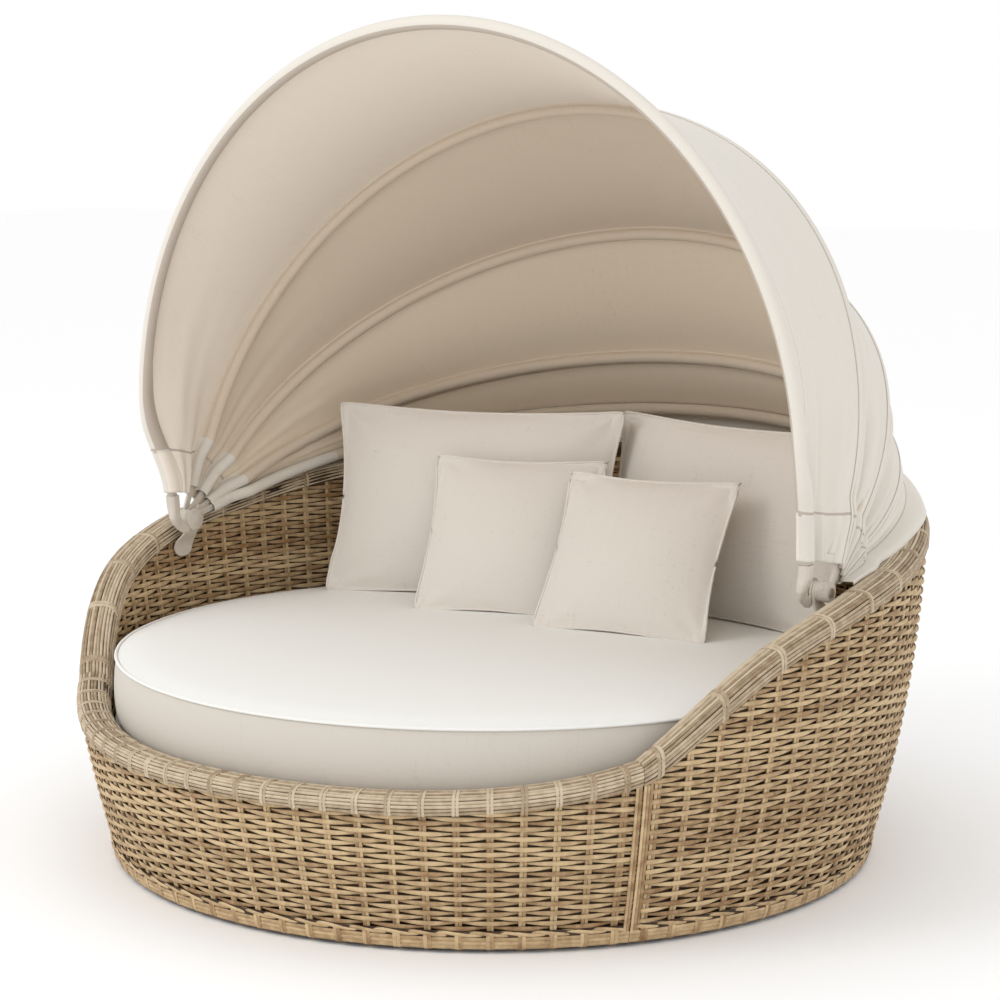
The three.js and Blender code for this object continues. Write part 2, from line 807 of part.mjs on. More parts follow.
// The cap closes the inner end of the bolt with a stepped round face.
function pivotCap() {
  const back = stackInner - seatGap;
  const bore = pinRadius + seatGap;
  const boreEnd = stackInner - capHeight / 2 - seatGap;
  const profile = [[0, boreEnd], [bore, boreEnd], [bore, back], [capSteps[0].radius, back]];
  let depth = capHeight - capSteps.reduce((sum, step) => sum + step.depth, 0);
  for (const step of capSteps) {
    profile.push([step.radius, back - depth]);
    depth += step.depth;
    profile.push([step.radius - step.depth / 2, back - depth]);
  }
  profile.push([0, back - depth]);
  return turned(profile);
}

// The bracket hangs from its eye, leans out to the wall and ends in a round tongue on the weave.
function bracket() {
  const inner = slotMiddle(eyeSlots.bracket);
  const tongueFoot = pivotHeight - bracketDrop;
  const wallFace = (wallRadius(tongueFoot) - wallThickness) * facetShare - bracketSetback;
  const onFace = wallFace - eyeThickness / 2;
  const shape = [
    { across: inner, drop: 0, width: bracketNeck },
    { across: inner, drop: 0.25, width: bracketNeck },
    { across: mix(inner, onFace, 0.25), drop: 0.4, width: mix(bracketNeck, bracketWidth, 0.4) },
    { across: mix(inner, onFace, 0.8), drop: 0.6, width: bracketWidth },
    { across: onFace, drop: 0.74, width: bracketWidth },
    { across: onFace, drop: 0.88, width: bracketWidth * 0.86 },
    { across: onFace, drop: 0.96, width: bracketWidth * 0.6 },
    { across: onFace, drop: 1, width: bracketWidth * 0.3 },
  ];
  const rings = shape.map(({ across, drop, width }) => {
    const section = eightSided(eyeThickness, width, 0.85);
    return section.map(([x, y]) => new THREE.Vector3(across + x, y, -drop * bracketDrop));
  });
  return cut(join([eye(eyeSlots.bracket), loft(rings)]), [pinHole()]);
}

function addPivots() {
  for (const [name, side] of Object.entries(sides)) {
    const straightUp = 90;
    add("pivot_bracket_" + name, atPivot(bracket(), straightUp, side), hardwareLook);
    add("pivot_bolt_" + name, atPivot(pivotBolt(), straightUp, side), hardwareLook);
    add("pivot_cap_" + name, atPivot(pivotCap(), straightUp, side), hardwareLook);
  }
}

// Cover: one panel between each pair of bows, with its seams on the bows

const coverStations = 26;
const coverAcross = 7;
const pocketShares = [0.9, 0.6, 0.3];
const skirtShares = [0.3, 0.65, 1];
const ridge = tubeRadius + coverSlack;
const pocketRadius = ridge / Math.cos(((pocketShares[0] - pocketShares[1]) * Math.PI) / 2);

function coverRim(line, station) {
  const u = station / coverStations;
  const middle = line.getPointAt(u);
  const out = line.outward(u);
  return { middle, out, crest: middle.clone().addScaledVector(out, ridge), forward: line.forward() };
}

// Points across a panel between two crests, drawn in like taut cloth, with folds near the ends
function panelLine(from, to, station) {
  const line = [];
  const width = from.crest.distanceTo(to.crest);
  const fromEnd = Math.min(station, coverStations - station) / coverStations;
  const gather = 1 - smooth(fromEnd / foldFadeShare);
  const depth = foldDepth * gather * smooth(width / (10 * foldDepth));
  const edge = coverJoint / 2 / width;
  for (let k = 0; k <= coverAcross; k++) {
    const share = mix(edge, 1 - edge, k / coverAcross);
    const out = from.out.clone().lerp(to.out, share).normalize();
    const dip = coverSagShare * width * 4 * share * (1 - share);
    const fold = depth * Math.sin(share * foldCount * 2 * Math.PI) * Math.sin(Math.PI * share);
    const inward = dip + fold;
    line.push({ place: from.crest.clone().lerp(to.crest, share).addScaledVector(out, -inward), out });
  }
  return line;
}

// The front edge is folded round the front bow as a pocket.
function pocketLine({ middle, out, forward }) {
  return pocketShares.map((share) => {
    const turn = share * Math.PI;
    const away = out.clone().multiplyScalar(Math.cos(turn)).addScaledVector(forward, Math.sin(turn));
    return { place: middle.clone().addScaledVector(away, pocketRadius), out: away };
  });
}

// Below the hem bow a skirt falls outside the tub and ends just over the rim's outer edge.
function skirtLine({ middle, crest, out }) {
  const turn = Math.atan2(middle.x, -middle.y);
  const past = Math.abs(turn) - Math.PI / 2;
  const spread = smooth(past / skirtSpreadTurn);
  const under = rimTop(turn);
  const bowRadius = Math.hypot(middle.x, middle.y);
  const radius = mix(bowRadius + ridge + skirtReach, wallRadius(under) + rimOverhang, spread);
  const hem = around(radius, turn, under + skirtLift);
  const hemOut = around(1, turn, 0.6).normalize();
  return skirtShares.map((share) => {
    const away = out.clone().lerp(hemOut, share).normalize();
    const bulge = skirtReach * 0.4 * Math.sin(Math.PI * share);
    return { place: crest.clone().lerp(hem, share).addScaledVector(away, bulge), out: away };
  });
}

function cloth(lines) {
  return loft(
    lines.map((line) => {
      const inside = line.map(({ place }) => place);
      const outside = line.map(({ place, out }) => place.clone().addScaledVector(out, coverThickness));
      return [...inside, ...outside.reverse()];
    }),
  );
}

function addCover() {
  const look = material(colours.fabric, 0.95);
  const names = ["cover_front", "cover_second", "cover_third", "cover_rear"];
  const bowLines = foldingBows.map((bow) => new BowLine(bow, coverEnd));
  bowLines.unshift(new BowLine(frontBow, frontTubeStart + coverInset));
  names.forEach((name, i) => {
    const lines = [];
    for (let station = 0; station <= coverStations; station++) {
      const from = coverRim(bowLines[i], station);
      const to = coverRim(bowLines[i + 1], station);
      const line = panelLine(from, to, station);
      if (i === 0) line.unshift(...pocketLine(from));
      if (i === names.length - 1) line.push(...skirtLine(to));
      lines.push(line);
    }
    add(name, cloth(lines), look);
  });
}

addTub();
addDeck();
addCushions();
addBows();
addPivots();
addCover();

export default daybed;
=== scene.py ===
import json
import math
import random

import bmesh
import bpy
import numpy as np
from bpy.props import FloatProperty, FloatVectorProperty, PointerProperty
from mathutils import Matrix, Vector


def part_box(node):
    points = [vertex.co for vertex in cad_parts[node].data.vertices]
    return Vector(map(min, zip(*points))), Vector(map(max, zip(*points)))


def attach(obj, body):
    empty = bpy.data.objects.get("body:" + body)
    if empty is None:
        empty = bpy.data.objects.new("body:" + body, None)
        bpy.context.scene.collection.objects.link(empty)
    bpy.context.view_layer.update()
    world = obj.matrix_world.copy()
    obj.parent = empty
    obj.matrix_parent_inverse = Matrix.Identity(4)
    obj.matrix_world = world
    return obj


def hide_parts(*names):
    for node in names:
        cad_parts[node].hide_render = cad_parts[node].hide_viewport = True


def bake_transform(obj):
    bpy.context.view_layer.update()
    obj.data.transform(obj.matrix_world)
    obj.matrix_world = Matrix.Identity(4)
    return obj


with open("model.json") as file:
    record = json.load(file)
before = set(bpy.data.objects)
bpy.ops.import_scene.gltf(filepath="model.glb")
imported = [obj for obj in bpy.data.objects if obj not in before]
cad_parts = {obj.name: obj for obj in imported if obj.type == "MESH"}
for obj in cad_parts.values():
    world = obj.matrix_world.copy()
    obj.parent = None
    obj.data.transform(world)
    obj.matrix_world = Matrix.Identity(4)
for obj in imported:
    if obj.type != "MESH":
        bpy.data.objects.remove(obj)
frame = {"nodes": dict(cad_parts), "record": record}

bl_info = {
    "name": "Outdoor daybed with canopy",
    "version": (1, 0, 0),
    "blender": (4, 5, 0),
    "location": "3D View > Sidebar > Daybed",
    "description": "Dresses the frame of a round woven daybed: wicker, cushions, canopy and fittings",
    "category": "Object",
}

# Sizes in metres. They repeat the source's named lengths, because this script reads only the frame.
FOOT_RADIUS = 0.792
WALL_FLARE = 0.112
BACK_RIM = 0.765
FRONT_RIM = 0.308
SEAM_RIM = 0.360
WALL_THICKNESS = 0.058
WEAVE_THICKNESS = 0.008
SEAM_TURN = math.radians(53.8)
SEAM_GAP = 0.001
ARM_RISE = (0, 0.425, 0.63, 0.74, 0.85, 0.915, 0.957, 0.985, 1)
FRONT_RISE_POWER = 4
RIM_HEIGHT = 0.036
RIM_OVERHANG = 0.004
RIM_SHOULDER = 0.005
BAND_TOP = 0.045
BAND_BOTTOM = 0.010
BAND_OVERHANG = 0.003
INNER_FOOT = 0.2583
PIVOT = Vector((0, -0.050, 0.6246))
TUBE_RADIUS = 0.011
RIDGE = 0.0146
MATTRESS_RADIUS = 0.783
MATTRESS_SHIFT = -0.012
MATTRESS_FOOT = 0.2786
MATTRESS_EDGE = 0.4246
MATTRESS_CROWN = 0.017
PIPING = 0.004

# A wall is modelled flat, with X along its run, Y its inset and Z its height, and is then bent round.
ROUND = 0.85


def linear(hex_colour):
    """An sRGB hex value as linear red, green and blue."""
    parts = [((hex_colour >> shift) & 255) / 255 for shift in (16, 8, 0)]
    return tuple(p / 12.92 if p <= 0.04045 else ((p + 0.055) / 1.055) ** 2.4 for p in parts)


def mix(a, b, share):
    return a + (b - a) * share


def smooth(share):
    t = np.clip(share, 0, 1)
    return t * t * (3 - 2 * t)


# Materials


def add_node(tree, kind, inputs=None, **settings):
    """Adds a node, sets its properties, and fills or links its inputs by name or number."""
    made = tree.nodes.new(kind)
    for key, value in settings.items():
        setattr(made, key, value)
    for key, value in (inputs or {}).items():
        if isinstance(value, bpy.types.NodeSocket):
            tree.links.new(value, made.inputs[key])
        else:
            made.inputs[key].default_value = value
    return made


def new_material(name):
    """A material with a bare Principled shader, and that shader."""
    made = bpy.data.materials.new(name)
    made.use_nodes = True
    shader = made.node_tree.nodes["Principled BSDF"]
    return made, made.node_tree, shader


def rgba(colour):
    return (*colour, 1.0)


def ramp(tree, factor, stops):
    """A colour ramp from (place, colour) pairs."""
    made = add_node(tree, "ShaderNodeValToRGB", {"Fac": factor})
    band = made.color_ramp
    while len(band.elements) < len(stops):
        band.elements.new(0.5)
    for element, (place, colour) in zip(band.elements, stops):
        element.position = place
        element.color = rgba(colour)
    return made.outputs["Color"]


def noise_at(tree, vector, scale, detail=2.0, roughness=0.5):
    inputs = {"Vector": vector, "Scale": scale, "Detail": detail, "Roughness": roughness}
    return add_node(tree, "ShaderNodeTexNoise", inputs).outputs["Fac"]


def stretched(tree, socket, scale):
    made = add_node(tree, "ShaderNodeMapping", {"Vector": socket, "Scale": scale})
    return made.outputs["Vector"]


def bump(tree, height, strength, distance):
    inputs = {"Height": height, "Strength": strength, "Distance": distance}
    return add_node(tree, "ShaderNodeBump", inputs).outputs["Normal"]


def scaled(tree, value, factor, added=0.0):
    """A value times a factor, with another value added to it."""
    inputs = {0: value, 1: factor, 2: added}
    return add_node(tree, "ShaderNodeMath", inputs, operation="MULTIPLY_ADD").outputs[0]


def wicker(name, pale, deep):
    """Extruded polyethylene strand, matt, with streaks along it: each strand has its own tone."""
    made, tree, shader = new_material(name)
    place = add_node(tree, "ShaderNodeTexCoord").outputs["Object"]
    tone = add_node(tree, "ShaderNodeNewGeometry").outputs["Random Per Island"]
    patch = noise_at(tree, place, 55, 3)
    streak = noise_at(tree, stretched(tree, place, (1, 1, 6)), 420, 2)
    share = scaled(tree, tone, 0.45)
    share = scaled(tree, patch, 0.75, share)
    share = scaled(tree, streak, 0.35, share)
    tree.links.new(ramp(tree, share, [(0.45, deep), (1.05, pale)]), shader.inputs["Base Color"])
    tree.links.new(bump(tree, streak, 0.35, 0.0006), shader.inputs["Normal"])
    shader.inputs["Roughness"].default_value = 0.62
    shader.inputs["IOR"].default_value = 1.5
    return made


def powder_coat(name, colour, roughness=0.42):
    """Powder-coated aluminium: satin paint with a very fine orange peel."""
    made, tree, shader = new_material(name)
    place = add_node(tree, "ShaderNodeTexCoord").outputs["Object"]
    peel = noise_at(tree, place, 900, 1)
    cloud = noise_at(tree, place, 9, 2)
    shade = tuple(c * 0.9 for c in colour)
    tree.links.new(ramp(tree, cloud, [(0.3, shade), (0.7, colour)]), shader.inputs["Base Color"])
    tree.links.new(bump(tree, peel, 0.12, 0.0003), shader.inputs["Normal"])
    shader.inputs["Roughness"].default_value = roughness
    shader.inputs["IOR"].default_value = 1.52
    return made


def bare_metal(name, colour, roughness):
    """Stainless steel, turned: fine rings and a soft shine."""
    made, tree, shader = new_material(name)
    place = add_node(tree, "ShaderNodeTexCoord").outputs["Object"]
    scratch = noise_at(tree, stretched(tree, place, (30, 1, 1)), 700, 2)
    tree.links.new(bump(tree, scratch, 0.15, 0.0002), shader.inputs["Normal"])
    shader.inputs["Base Color"].default_value = rgba(colour)
    shader.inputs["Metallic"].default_value = 1.0
    shader.inputs["Roughness"].default_value = roughness
    return made


def oiled_timber(name, pale, deep):
    """Oiled eucalyptus board, sawn along X: long grain with darker pores."""
    made, tree, shader = new_material(name)
    place = add_node(tree, "ShaderNodeTexCoord").outputs["Object"]
    grain = noise_at(tree, stretched(tree, place, (0.6, 12, 12)), 9, 5, 0.6)
    pores = noise_at(tree, stretched(tree, place, (1, 30, 30)), 45, 2)
    tree.links.new(ramp(tree, grain, [(0.3, deep), (0.7, pale)]), shader.inputs["Base Color"])
    tree.links.new(bump(tree, pores, 0.3, 0.0005), shader.inputs["Normal"])
    shader.inputs["Roughness"].default_value = 0.6
    return made


def moulded_rubber(name, colour):
    """Moulded rubber glide: dark and dull."""
    made, tree, shader = new_material(name)
    place = add_node(tree, "ShaderNodeTexCoord").outputs["Object"]
    grit = noise_at(tree, place, 600, 2)
    tree.links.new(bump(tree, grit, 0.3, 0.0003), shader.inputs["Normal"])
    shader.inputs["Base Color"].default_value = rgba(colour)
    shader.inputs["Roughness"].default_value = 0.8
    return made


def woven_cloth(name, colour, thread_mm, contrast):
    """Plain-woven outdoor canvas, solution-dyed acrylic: matt, with slubs along warp and weft and a soft nap.
    The threads are drawn coarser than real ones so that they show."""
    made, tree, shader = new_material(name)
    place = add_node(tree, "ShaderNodeTexCoord").outputs["Object"]
    scale = 1000 / thread_mm / 2
    warp = noise_at(tree, stretched(tree, place, (1, 0.06, 0.06)), scale, 2)
    weft = noise_at(tree, stretched(tree, place, (0.06, 1, 1)), scale, 2)
    cross = add_node(tree, "ShaderNodeMath", {0: warp, 1: weft}, operation="ADD").outputs[0]
    cloud = noise_at(tree, place, 4, 2)
    share = scaled(tree, cloud, 0.35, cross)
    deep = tuple(c * (1 - contrast) for c in colour)
    tree.links.new(ramp(tree, share, [(0.8, deep), (1.45, colour)]), shader.inputs["Base Color"])
    tree.links.new(bump(tree, cross, 0.25, 0.0005), shader.inputs["Normal"])
    shader.inputs["Roughness"].default_value = 0.9
    shader.inputs["Sheen Weight"].default_value = 0.12
    shader.inputs["Sheen Roughness"].default_value = 0.5
    return made


LOOKS = {}
# Lit and shaded tones of one lining cloth, panel by panel: painted light and shade.
LINING_LIGHT_AND_SHADE = {"cover_front": 0xEADFD2, "cover_second": 0xD3C4B1, "cover_third": 0xE0D1BC, "cover_rear": 0xEADAC4}


def make_looks(colours):
    """All materials, from the colours in the panel."""
    LOOKS["wicker"] = wicker("polyethylene_wicker", tuple(colours.wicker_pale), tuple(colours.wicker_deep))
    LOOKS["rim_wicker"] = wicker("polyethylene_wicker_rim", linear(0xC9B89E), linear(0x8D7557))
    # A dark brown for the sheets behind the weave and for the frame's woven solids: painted shade for the
    # hollow inside the walls.
    LOOKS["weave_painted_shade"] = wicker("weave_painted_shade", linear(0x4E3926), linear(0x2C1E12))
    LOOKS["coat"] = powder_coat("powder_coated_aluminium", tuple(colours.fittings))
    LOOKS["frame"] = powder_coat("brown_powder_coat", linear(0x5B4833), 0.5)
    LOOKS["steel"] = bare_metal("stainless_steel", linear(0xC4C0B8), 0.32)
    LOOKS["timber"] = oiled_timber("oiled_eucalyptus", linear(0xA98459), linear(0x7D5C3A))
    LOOKS["rubber"] = moulded_rubber("moulded_rubber", linear(0x2E2C29))
    LOOKS["mattress"] = woven_cloth("mattress_canvas", tuple(colours.mattress), 2.2, 0.05)
    # The sides' darker tone is painted shade.
    LOOKS["mattress_side"] = woven_cloth("mattress_boxing_painted_shade", tuple(colours.mattress_side), 2.2, 0.06)
    LOOKS["pillow"] = woven_cloth("pillow_canvas", tuple(colours.pillow), 2.4, 0.08)
    LOOKS["cover"] = woven_cloth("canopy_canvas", tuple(colours.canopy), 2.2, 0.05)
    # One lining cloth, whose tone is set panel by panel as the inside of the canopy shows it: painted light
    # and shade, each panel lighter or darker with the light that falls on it.
    for panel, colour in LINING_LIGHT_AND_SHADE.items():
        LOOKS["lining_" + panel] = woven_cloth("lining_lit_and_shaded_of_" + panel, linear(colour), 2.2, 0.06)
    # The cuffs' seam lines and the inner side of the front fold, where this darker taupe is painted shade.
    LOOKS["edging"] = woven_cloth("canopy_edging", tuple(colours.edging), 2.0, 0.10)


# Meshes


def in_frame(piece, body, node=None):
    """Says which body a piece rides on and, if it takes one's place, which solid."""
    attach(piece, body)
    if node is not None:
        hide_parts(node)


def smoothed(mesh, sharp_degrees=None):
    mesh.shade_smooth()
    if sharp_degrees is not None:
        mesh.set_sharp_from_angle(angle=math.radians(sharp_degrees))
    return mesh


def from_bmesh(name, shape, look, sharp_degrees=None):
    """A smooth-shaded object from a bmesh, which is freed."""
    mesh = bpy.data.meshes.new(name)
    shape.to_mesh(mesh)
    shape.free()
    made = bpy.data.objects.new(name, smoothed(mesh, sharp_degrees))
    bpy.context.scene.collection.objects.link(made)
    mesh.materials.append(LOOKS[look])
    return made


def baked(obj):
    """The object's mesh with its modifiers or curve made real."""
    bpy.context.view_layer.update()
    graph = bpy.context.evaluated_depsgraph_get()
    mesh = bpy.data.meshes.new_from_object(
        obj.evaluated_get(graph), preserve_all_data_layers=True, depsgraph=graph,
    )
    if obj.type == "MESH":
        obj.modifiers.clear()
        obj.data = mesh
        return obj
    name = obj.name
    data = obj.data
    bpy.data.objects.remove(obj)
    bpy.data.curves.remove(data)
    mesh.name = name
    mesh.materials.clear()
    return bpy.data.objects.new(name, mesh)


def coordinates(mesh):
    co = np.empty(len(mesh.vertices) * 3, np.float32)
    mesh.vertices.foreach_get("co", co)
    return co.reshape(-1, 3).astype(float)


def set_coordinates(mesh, co):
    mesh.vertices.foreach_set("co", co.astype(np.float32).ravel())
    mesh.update()


def bent(made, bend):
    set_coordinates(made.data, bend(coordinates(made.data)))
    return made


def section_curve(name, points):
    """A closed flat outline that a strand is drawn with."""
    data = bpy.data.curves.new(name, "CURVE")
    data.dimensions = "2D"
    spline = data.splines.new("POLY")
    spline.points.add(len(points) - 1)
    for point, (x, y) in zip(spline.points, points):
        point.co = (x, y, 0, 1)
    spline.use_cyclic_u = True
    made = bpy.data.objects.new(name, data)
    bpy.context.scene.collection.objects.link(made)
    return made


def flat_strand(width, thickness):
    """Section of a domed strand with soft edges: width runs up, thickness runs outwards."""
    w, t = width / 2, thickness / 2
    return [(-t * 0.3, -w), (t * 0.7, -w * 0.62), (t, 0), (t * 0.7, w * 0.62), (-t * 0.3, w), (-t, 0)]


def strands(name, paths, outline, look, closed=False, bend=None, smooth_angle=50):
    """Draws a section along many paths at once. A path is a list of (place, scale, tilt)."""
    section = section_curve(name + "_section", outline)
    data = bpy.data.curves.new(name, "CURVE")
    data.dimensions = "3D"
    data.bevel_mode = "OBJECT"
    data.bevel_object = section
    data.twist_mode = "Z_UP"
    data.use_fill_caps = not closed
    for path in paths:
        spline = data.splines.new("POLY")
        spline.points.add(len(path) - 1)
        spline.points.foreach_set("co", [c for place, _, _ in path for c in (*place, 1.0)])
        spline.points.foreach_set("radius", [scale for _, scale, _ in path])
        spline.points.foreach_set("tilt", [tilt for _, _, tilt in path])
        spline.use_cyclic_u = closed
    made = bpy.data.objects.new(name, data)
    bpy.context.scene.collection.objects.link(made)
    made = baked(made)
    bpy.context.scene.collection.objects.link(made)
    outline_data = section.data
    bpy.data.objects.remove(section)
    bpy.data.curves.remove(outline_data)
    if bend is not None:
        bent(made, bend)
    smoothed(made.data, smooth_angle)
    made.data.materials.append(LOOKS[look])
    return made


CAST_VOXEL = 0.0011
CAST_ROUNDS = 4


def cast_copy(node, name, look):
    """A casting with its edges eased, from a copy of a node's mesh."""
    shape = bmesh.new()
    shape.from_mesh(frame["nodes"][node].data)
    bmesh.ops.remove_doubles(shape, verts=shape.verts, dist=1e-5)
    made = from_bmesh(name, shape, look)
    remesh = made.modifiers.new("even", "REMESH")
    remesh.mode = "VOXEL"
    remesh.voxel_size = CAST_VOXEL
    remesh.use_smooth_shade = True
    baked(made)
    shape = bmesh.new()
    shape.from_mesh(made.data)
    every_axis = {"use_axis_x": True, "use_axis_y": True, "use_axis_z": True}
    for _ in range(CAST_ROUNDS):
        bmesh.ops.smooth_vert(shape, verts=shape.verts, factor=0.5, **every_axis)
    shape.to_mesh(made.data)
    shape.free()
    if not made.data.materials:
        made.data.materials.append(LOOKS[look])
    smoothed(made.data)
    return made


# Shape of the tub


def wall_radius(height):
    return FOOT_RADIUS + WALL_FLARE * (1 - (1 - height / BACK_RIM) ** 2)


def smooth_table(shares, place):
    table = np.asarray(shares, float)
    i = np.clip(np.floor(place).astype(int), 0, len(table) - 2)
    t = place - i
    b, c = table[i], table[i + 1]
    a = np.where(i > 0, table[np.maximum(i - 1, 0)], 2 * b - c)
    d = np.where(i + 2 < len(table), table[np.minimum(i + 2, len(table) - 1)], b)
    return b + 0.5 * t * (c - a + t * (2 * a - 5 * b + 4 * c - d + t * (3 * (b - c) + d - a)))


def rim_top(turn, rear):
    away = np.abs(np.arctan2(np.sin(turn), np.cos(turn)))
    if rear:
        place = np.maximum(away - SEAM_TURN, 0) / (math.pi - SEAM_TURN) * (len(ARM_RISE) - 1)
        return mix(SEAM_RIM, BACK_RIM, smooth_table(ARM_RISE, place))
    return mix(FRONT_RIM, SEAM_RIM, np.minimum(away / SEAM_TURN, 1) ** FRONT_RISE_POWER)


def rim_stretch(turn, rear):
    """How much taller the rim stands where it climbs."""
    step = 0.01
    rise = rim_top(turn + step, rear) - rim_top(turn - step, rear)
    return np.hypot(1, rise / (2 * step * wall_radius(rim_top(turn, rear))))


def rim_under(turn, rear):
    return rim_top(turn, rear) - RIM_HEIGHT * rim_stretch(turn, rear)


def bent_to_wall(co):
    turn = co[:, 0] / ROUND
    radius = wall_radius(co[:, 2]) - co[:, 1]
    return np.stack([radius * np.sin(turn), -radius * np.cos(turn), co[:, 2]], 1)


def bent_to_rim(rear):
    def bend(co):
        turn = co[:, 0] / ROUND
        height = rim_top(turn, rear) + co[:, 2] * rim_stretch(turn, rear)
        radius = wall_radius(height) - co[:, 1]
        return np.stack([radius * np.sin(turn), -radius * np.cos(turn), height], 1)

    return bend


# Each section of the tub as flat runs: the rear one is made in two halves, to keep each piece light.
GAP_TURN = SEAM_GAP / 2 / FOOT_RADIUS
REAR_FROM = SEAM_TURN + GAP_TURN
REAR_TO = 2 * math.pi - REAR_FROM
FRONT_TO = SEAM_TURN - GAP_TURN
RUNS = {
    "rear_right": (True, REAR_FROM, math.pi),
    "rear_left": (True, math.pi, REAR_TO),
    "front": (False, -FRONT_TO, FRONT_TO),
}


def stake_turns(low, high, count):
    """Places of the stakes, evenly over a run."""
    return [mix(low, high, (i + 0.5) / count) for i in range(count)]


def run_stakes(sizes, low, high):
    return max(2, round((high - low) * ROUND / sizes.stake_pitch))


def row_limits(height, rear, low, high):
    """The parts of a run in which a row at a height lies under the rim."""
    turns = np.linspace(low, high, 400)
    under = (rim_under(turns, rear) > height).astype(int)
    edges = np.flatnonzero(np.diff([0, *under, 0]))
    return [(turns[a], turns[b - 1]) for a, b in zip(edges[::2], edges[1::2]) if b - a >= 8]


SAMPLES = 6
ANY_PHASE = 6.28
ROW_LIFT = 0.0004
ROW_WOBBLE = 0.0007
ROW_UNDER_RIM_SHARE = 0.3
SHADE_SHEET_THICKNESS = 0.0005
SHADE_SHEET_STEP = 0.03
STRIP_THICKNESS = 0.003
STRIP_STEP = 0.05
STRIP_SHARP_DEGREES = 40
INTO_RIM = 0.004
SEAM_INTO_RIM = 0.002
SEAM_STRIP_INSET = -0.0024
SEAM_STRIP_GAP = 0.0006


def woven_rows(sizes, run, middle, depth, lowest, seed):
    """Paths of the rows of a woven wall: each strand passes in front of every other stake."""
    rear, low, high = run
    pitch = (high - low) / run_stakes(sizes, low, high)
    draw = random.Random(seed)
    paths = []
    row = 0
    height = lowest + sizes.row_pitch / 2
    while height < BACK_RIM:
        for limits in row_limits(height - sizes.row_pitch * ROW_UNDER_RIM_SHARE, rear, low, high):
            paths.append(row_path(draw, row, height, middle, depth, limits, low, pitch))
        height += sizes.row_pitch
        row += 1
    return paths


def row_path(draw, row, height, middle, depth, limits, low, pitch):
    """One row between two limits, narrower where it passes behind a stake and never quite level."""
    first = math.ceil((limits[0] - low) / pitch * SAMPLES)
    last = math.floor((limits[1] - low) / pitch * SAMPLES)
    steps = [limits[0], *[low + pitch * i / SAMPLES for i in range(first + 1, last)], limits[1]]
    lift = draw.uniform(-ROW_LIFT, ROW_LIFT)
    wave = draw.uniform(0, ANY_PHASE)
    path = []
    for turn in steps:
        phase = math.pi * ((turn - low) / pitch - 0.5 + row)
        out = 1 - 2 * (0.5 - 0.5 * math.cos(phase)) ** 1.5
        wobble = ROW_WOBBLE * math.sin(turn * 23 + wave)
        scale = 0.72 + 0.28 * out
        path.append(((turn * ROUND, middle - out * depth, height + lift + wobble), scale, 0.0))
    return path


def painted_shade_sheet(name, run, inset, lowest):
    """A dark sheet behind a woven wall, seen through the holes of the weave: painted shade for the hollow
    inside the wall.
    """
    rear, low, high = run
    shape = bmesh.new()
    columns = round((high - low) * ROUND / SHADE_SHEET_STEP)
    bmesh.ops.create_grid(shape, x_segments=columns, y_segments=8, size=0.5)

    def place(flat):
        turn = mix(low, high, flat[:, 0] + 0.5)
        height = mix(lowest, rim_under(turn, rear) + INTO_RIM, flat[:, 1] + 0.5)
        return bent_to_wall(np.stack([turn * ROUND, np.full_like(turn, inset), height], 1))

    return thickened(bent(from_bmesh(name, shape, "weave_painted_shade"), place), SHADE_SHEET_THICKNESS, 0.0)


def strips_upright(name, places, width, lowest, rear, into_rim, inset):
    """Upright flat strips on a wall, from its foot into its rim, cut in steps and bent with the wall."""
    shape = bmesh.new()
    for place in places:
        made = bmesh.ops.create_cube(shape, size=1.0)["verts"]
        top = float(rim_under(np.array([place / ROUND]), rear)[0]) + into_rim
        steps = max(2, round((top - lowest) / STRIP_STEP))
        bmesh.ops.scale(shape, verts=made, vec=(width, STRIP_THICKNESS, top - lowest))
        bmesh.ops.translate(shape, verts=made, vec=(place, inset, (top + lowest) / 2))
        around = dict.fromkeys(edge for vert in made for edge in vert.link_edges)
        tall = [e for e in around if abs(e.verts[0].co.z - e.verts[1].co.z) > 1e-4]
        bmesh.ops.subdivide_edges(shape, edges=tall, cuts=steps)
    return bent(from_bmesh(name, shape, "wicker", STRIP_SHARP_DEGREES), bent_to_wall)


def wall_stakes(sizes, name, run, inset, lowest):
    """The double stakes of a wall."""
    rear, low, high = run
    turns = stake_turns(low, high, run_stakes(sizes, low, high))
    places = double([turn * ROUND for turn in turns], sizes.stake_width * 1.07)
    return strips_upright(name, places, sizes.stake_width, lowest, rear, INTO_RIM, inset)


def seam_strips(sizes, name, run):
    """The upright strips that close a wall where the two sections of the tub meet."""
    rear, low, high = run
    places = []
    for end in (low, high):
        if abs(end - math.pi) > 0.01:
            inward = 1 if end == low else -1
            for k in range(3 if rear else 2):
                places.append(end * ROUND + inward * (sizes.stake_width * (k + 0.5) + SEAM_STRIP_GAP))
    width = sizes.stake_width * 0.86
    return strips_upright(name, places, width, BAND_BOTTOM, rear, SEAM_INTO_RIM, SEAM_STRIP_INSET)


def rim_outline(away):
    """The rim's section as (inset, depth under its top), a little off the solid, from outside to inside."""
    inner = WALL_THICKNESS + RIM_OVERHANG
    return [
        (-RIM_SHOULDER + RIM_OVERHANG / 2 - away, -RIM_HEIGHT),
        (-RIM_OVERHANG - away, -RIM_HEIGHT / 2),
        (RIM_SHOULDER / 2 - away * 0.8, -RIM_SHOULDER + away * 0.8),
        (WALL_THICKNESS * 0.3, away),
        (WALL_THICKNESS * 0.7, away),
        (WALL_THICKNESS - RIM_SHOULDER / 2 + away * 0.8, -RIM_SHOULDER + away * 0.8),
        (inner + away, -RIM_HEIGHT / 2),
        (inner - RIM_OVERHANG / 2 + away, -RIM_HEIGHT),
    ]


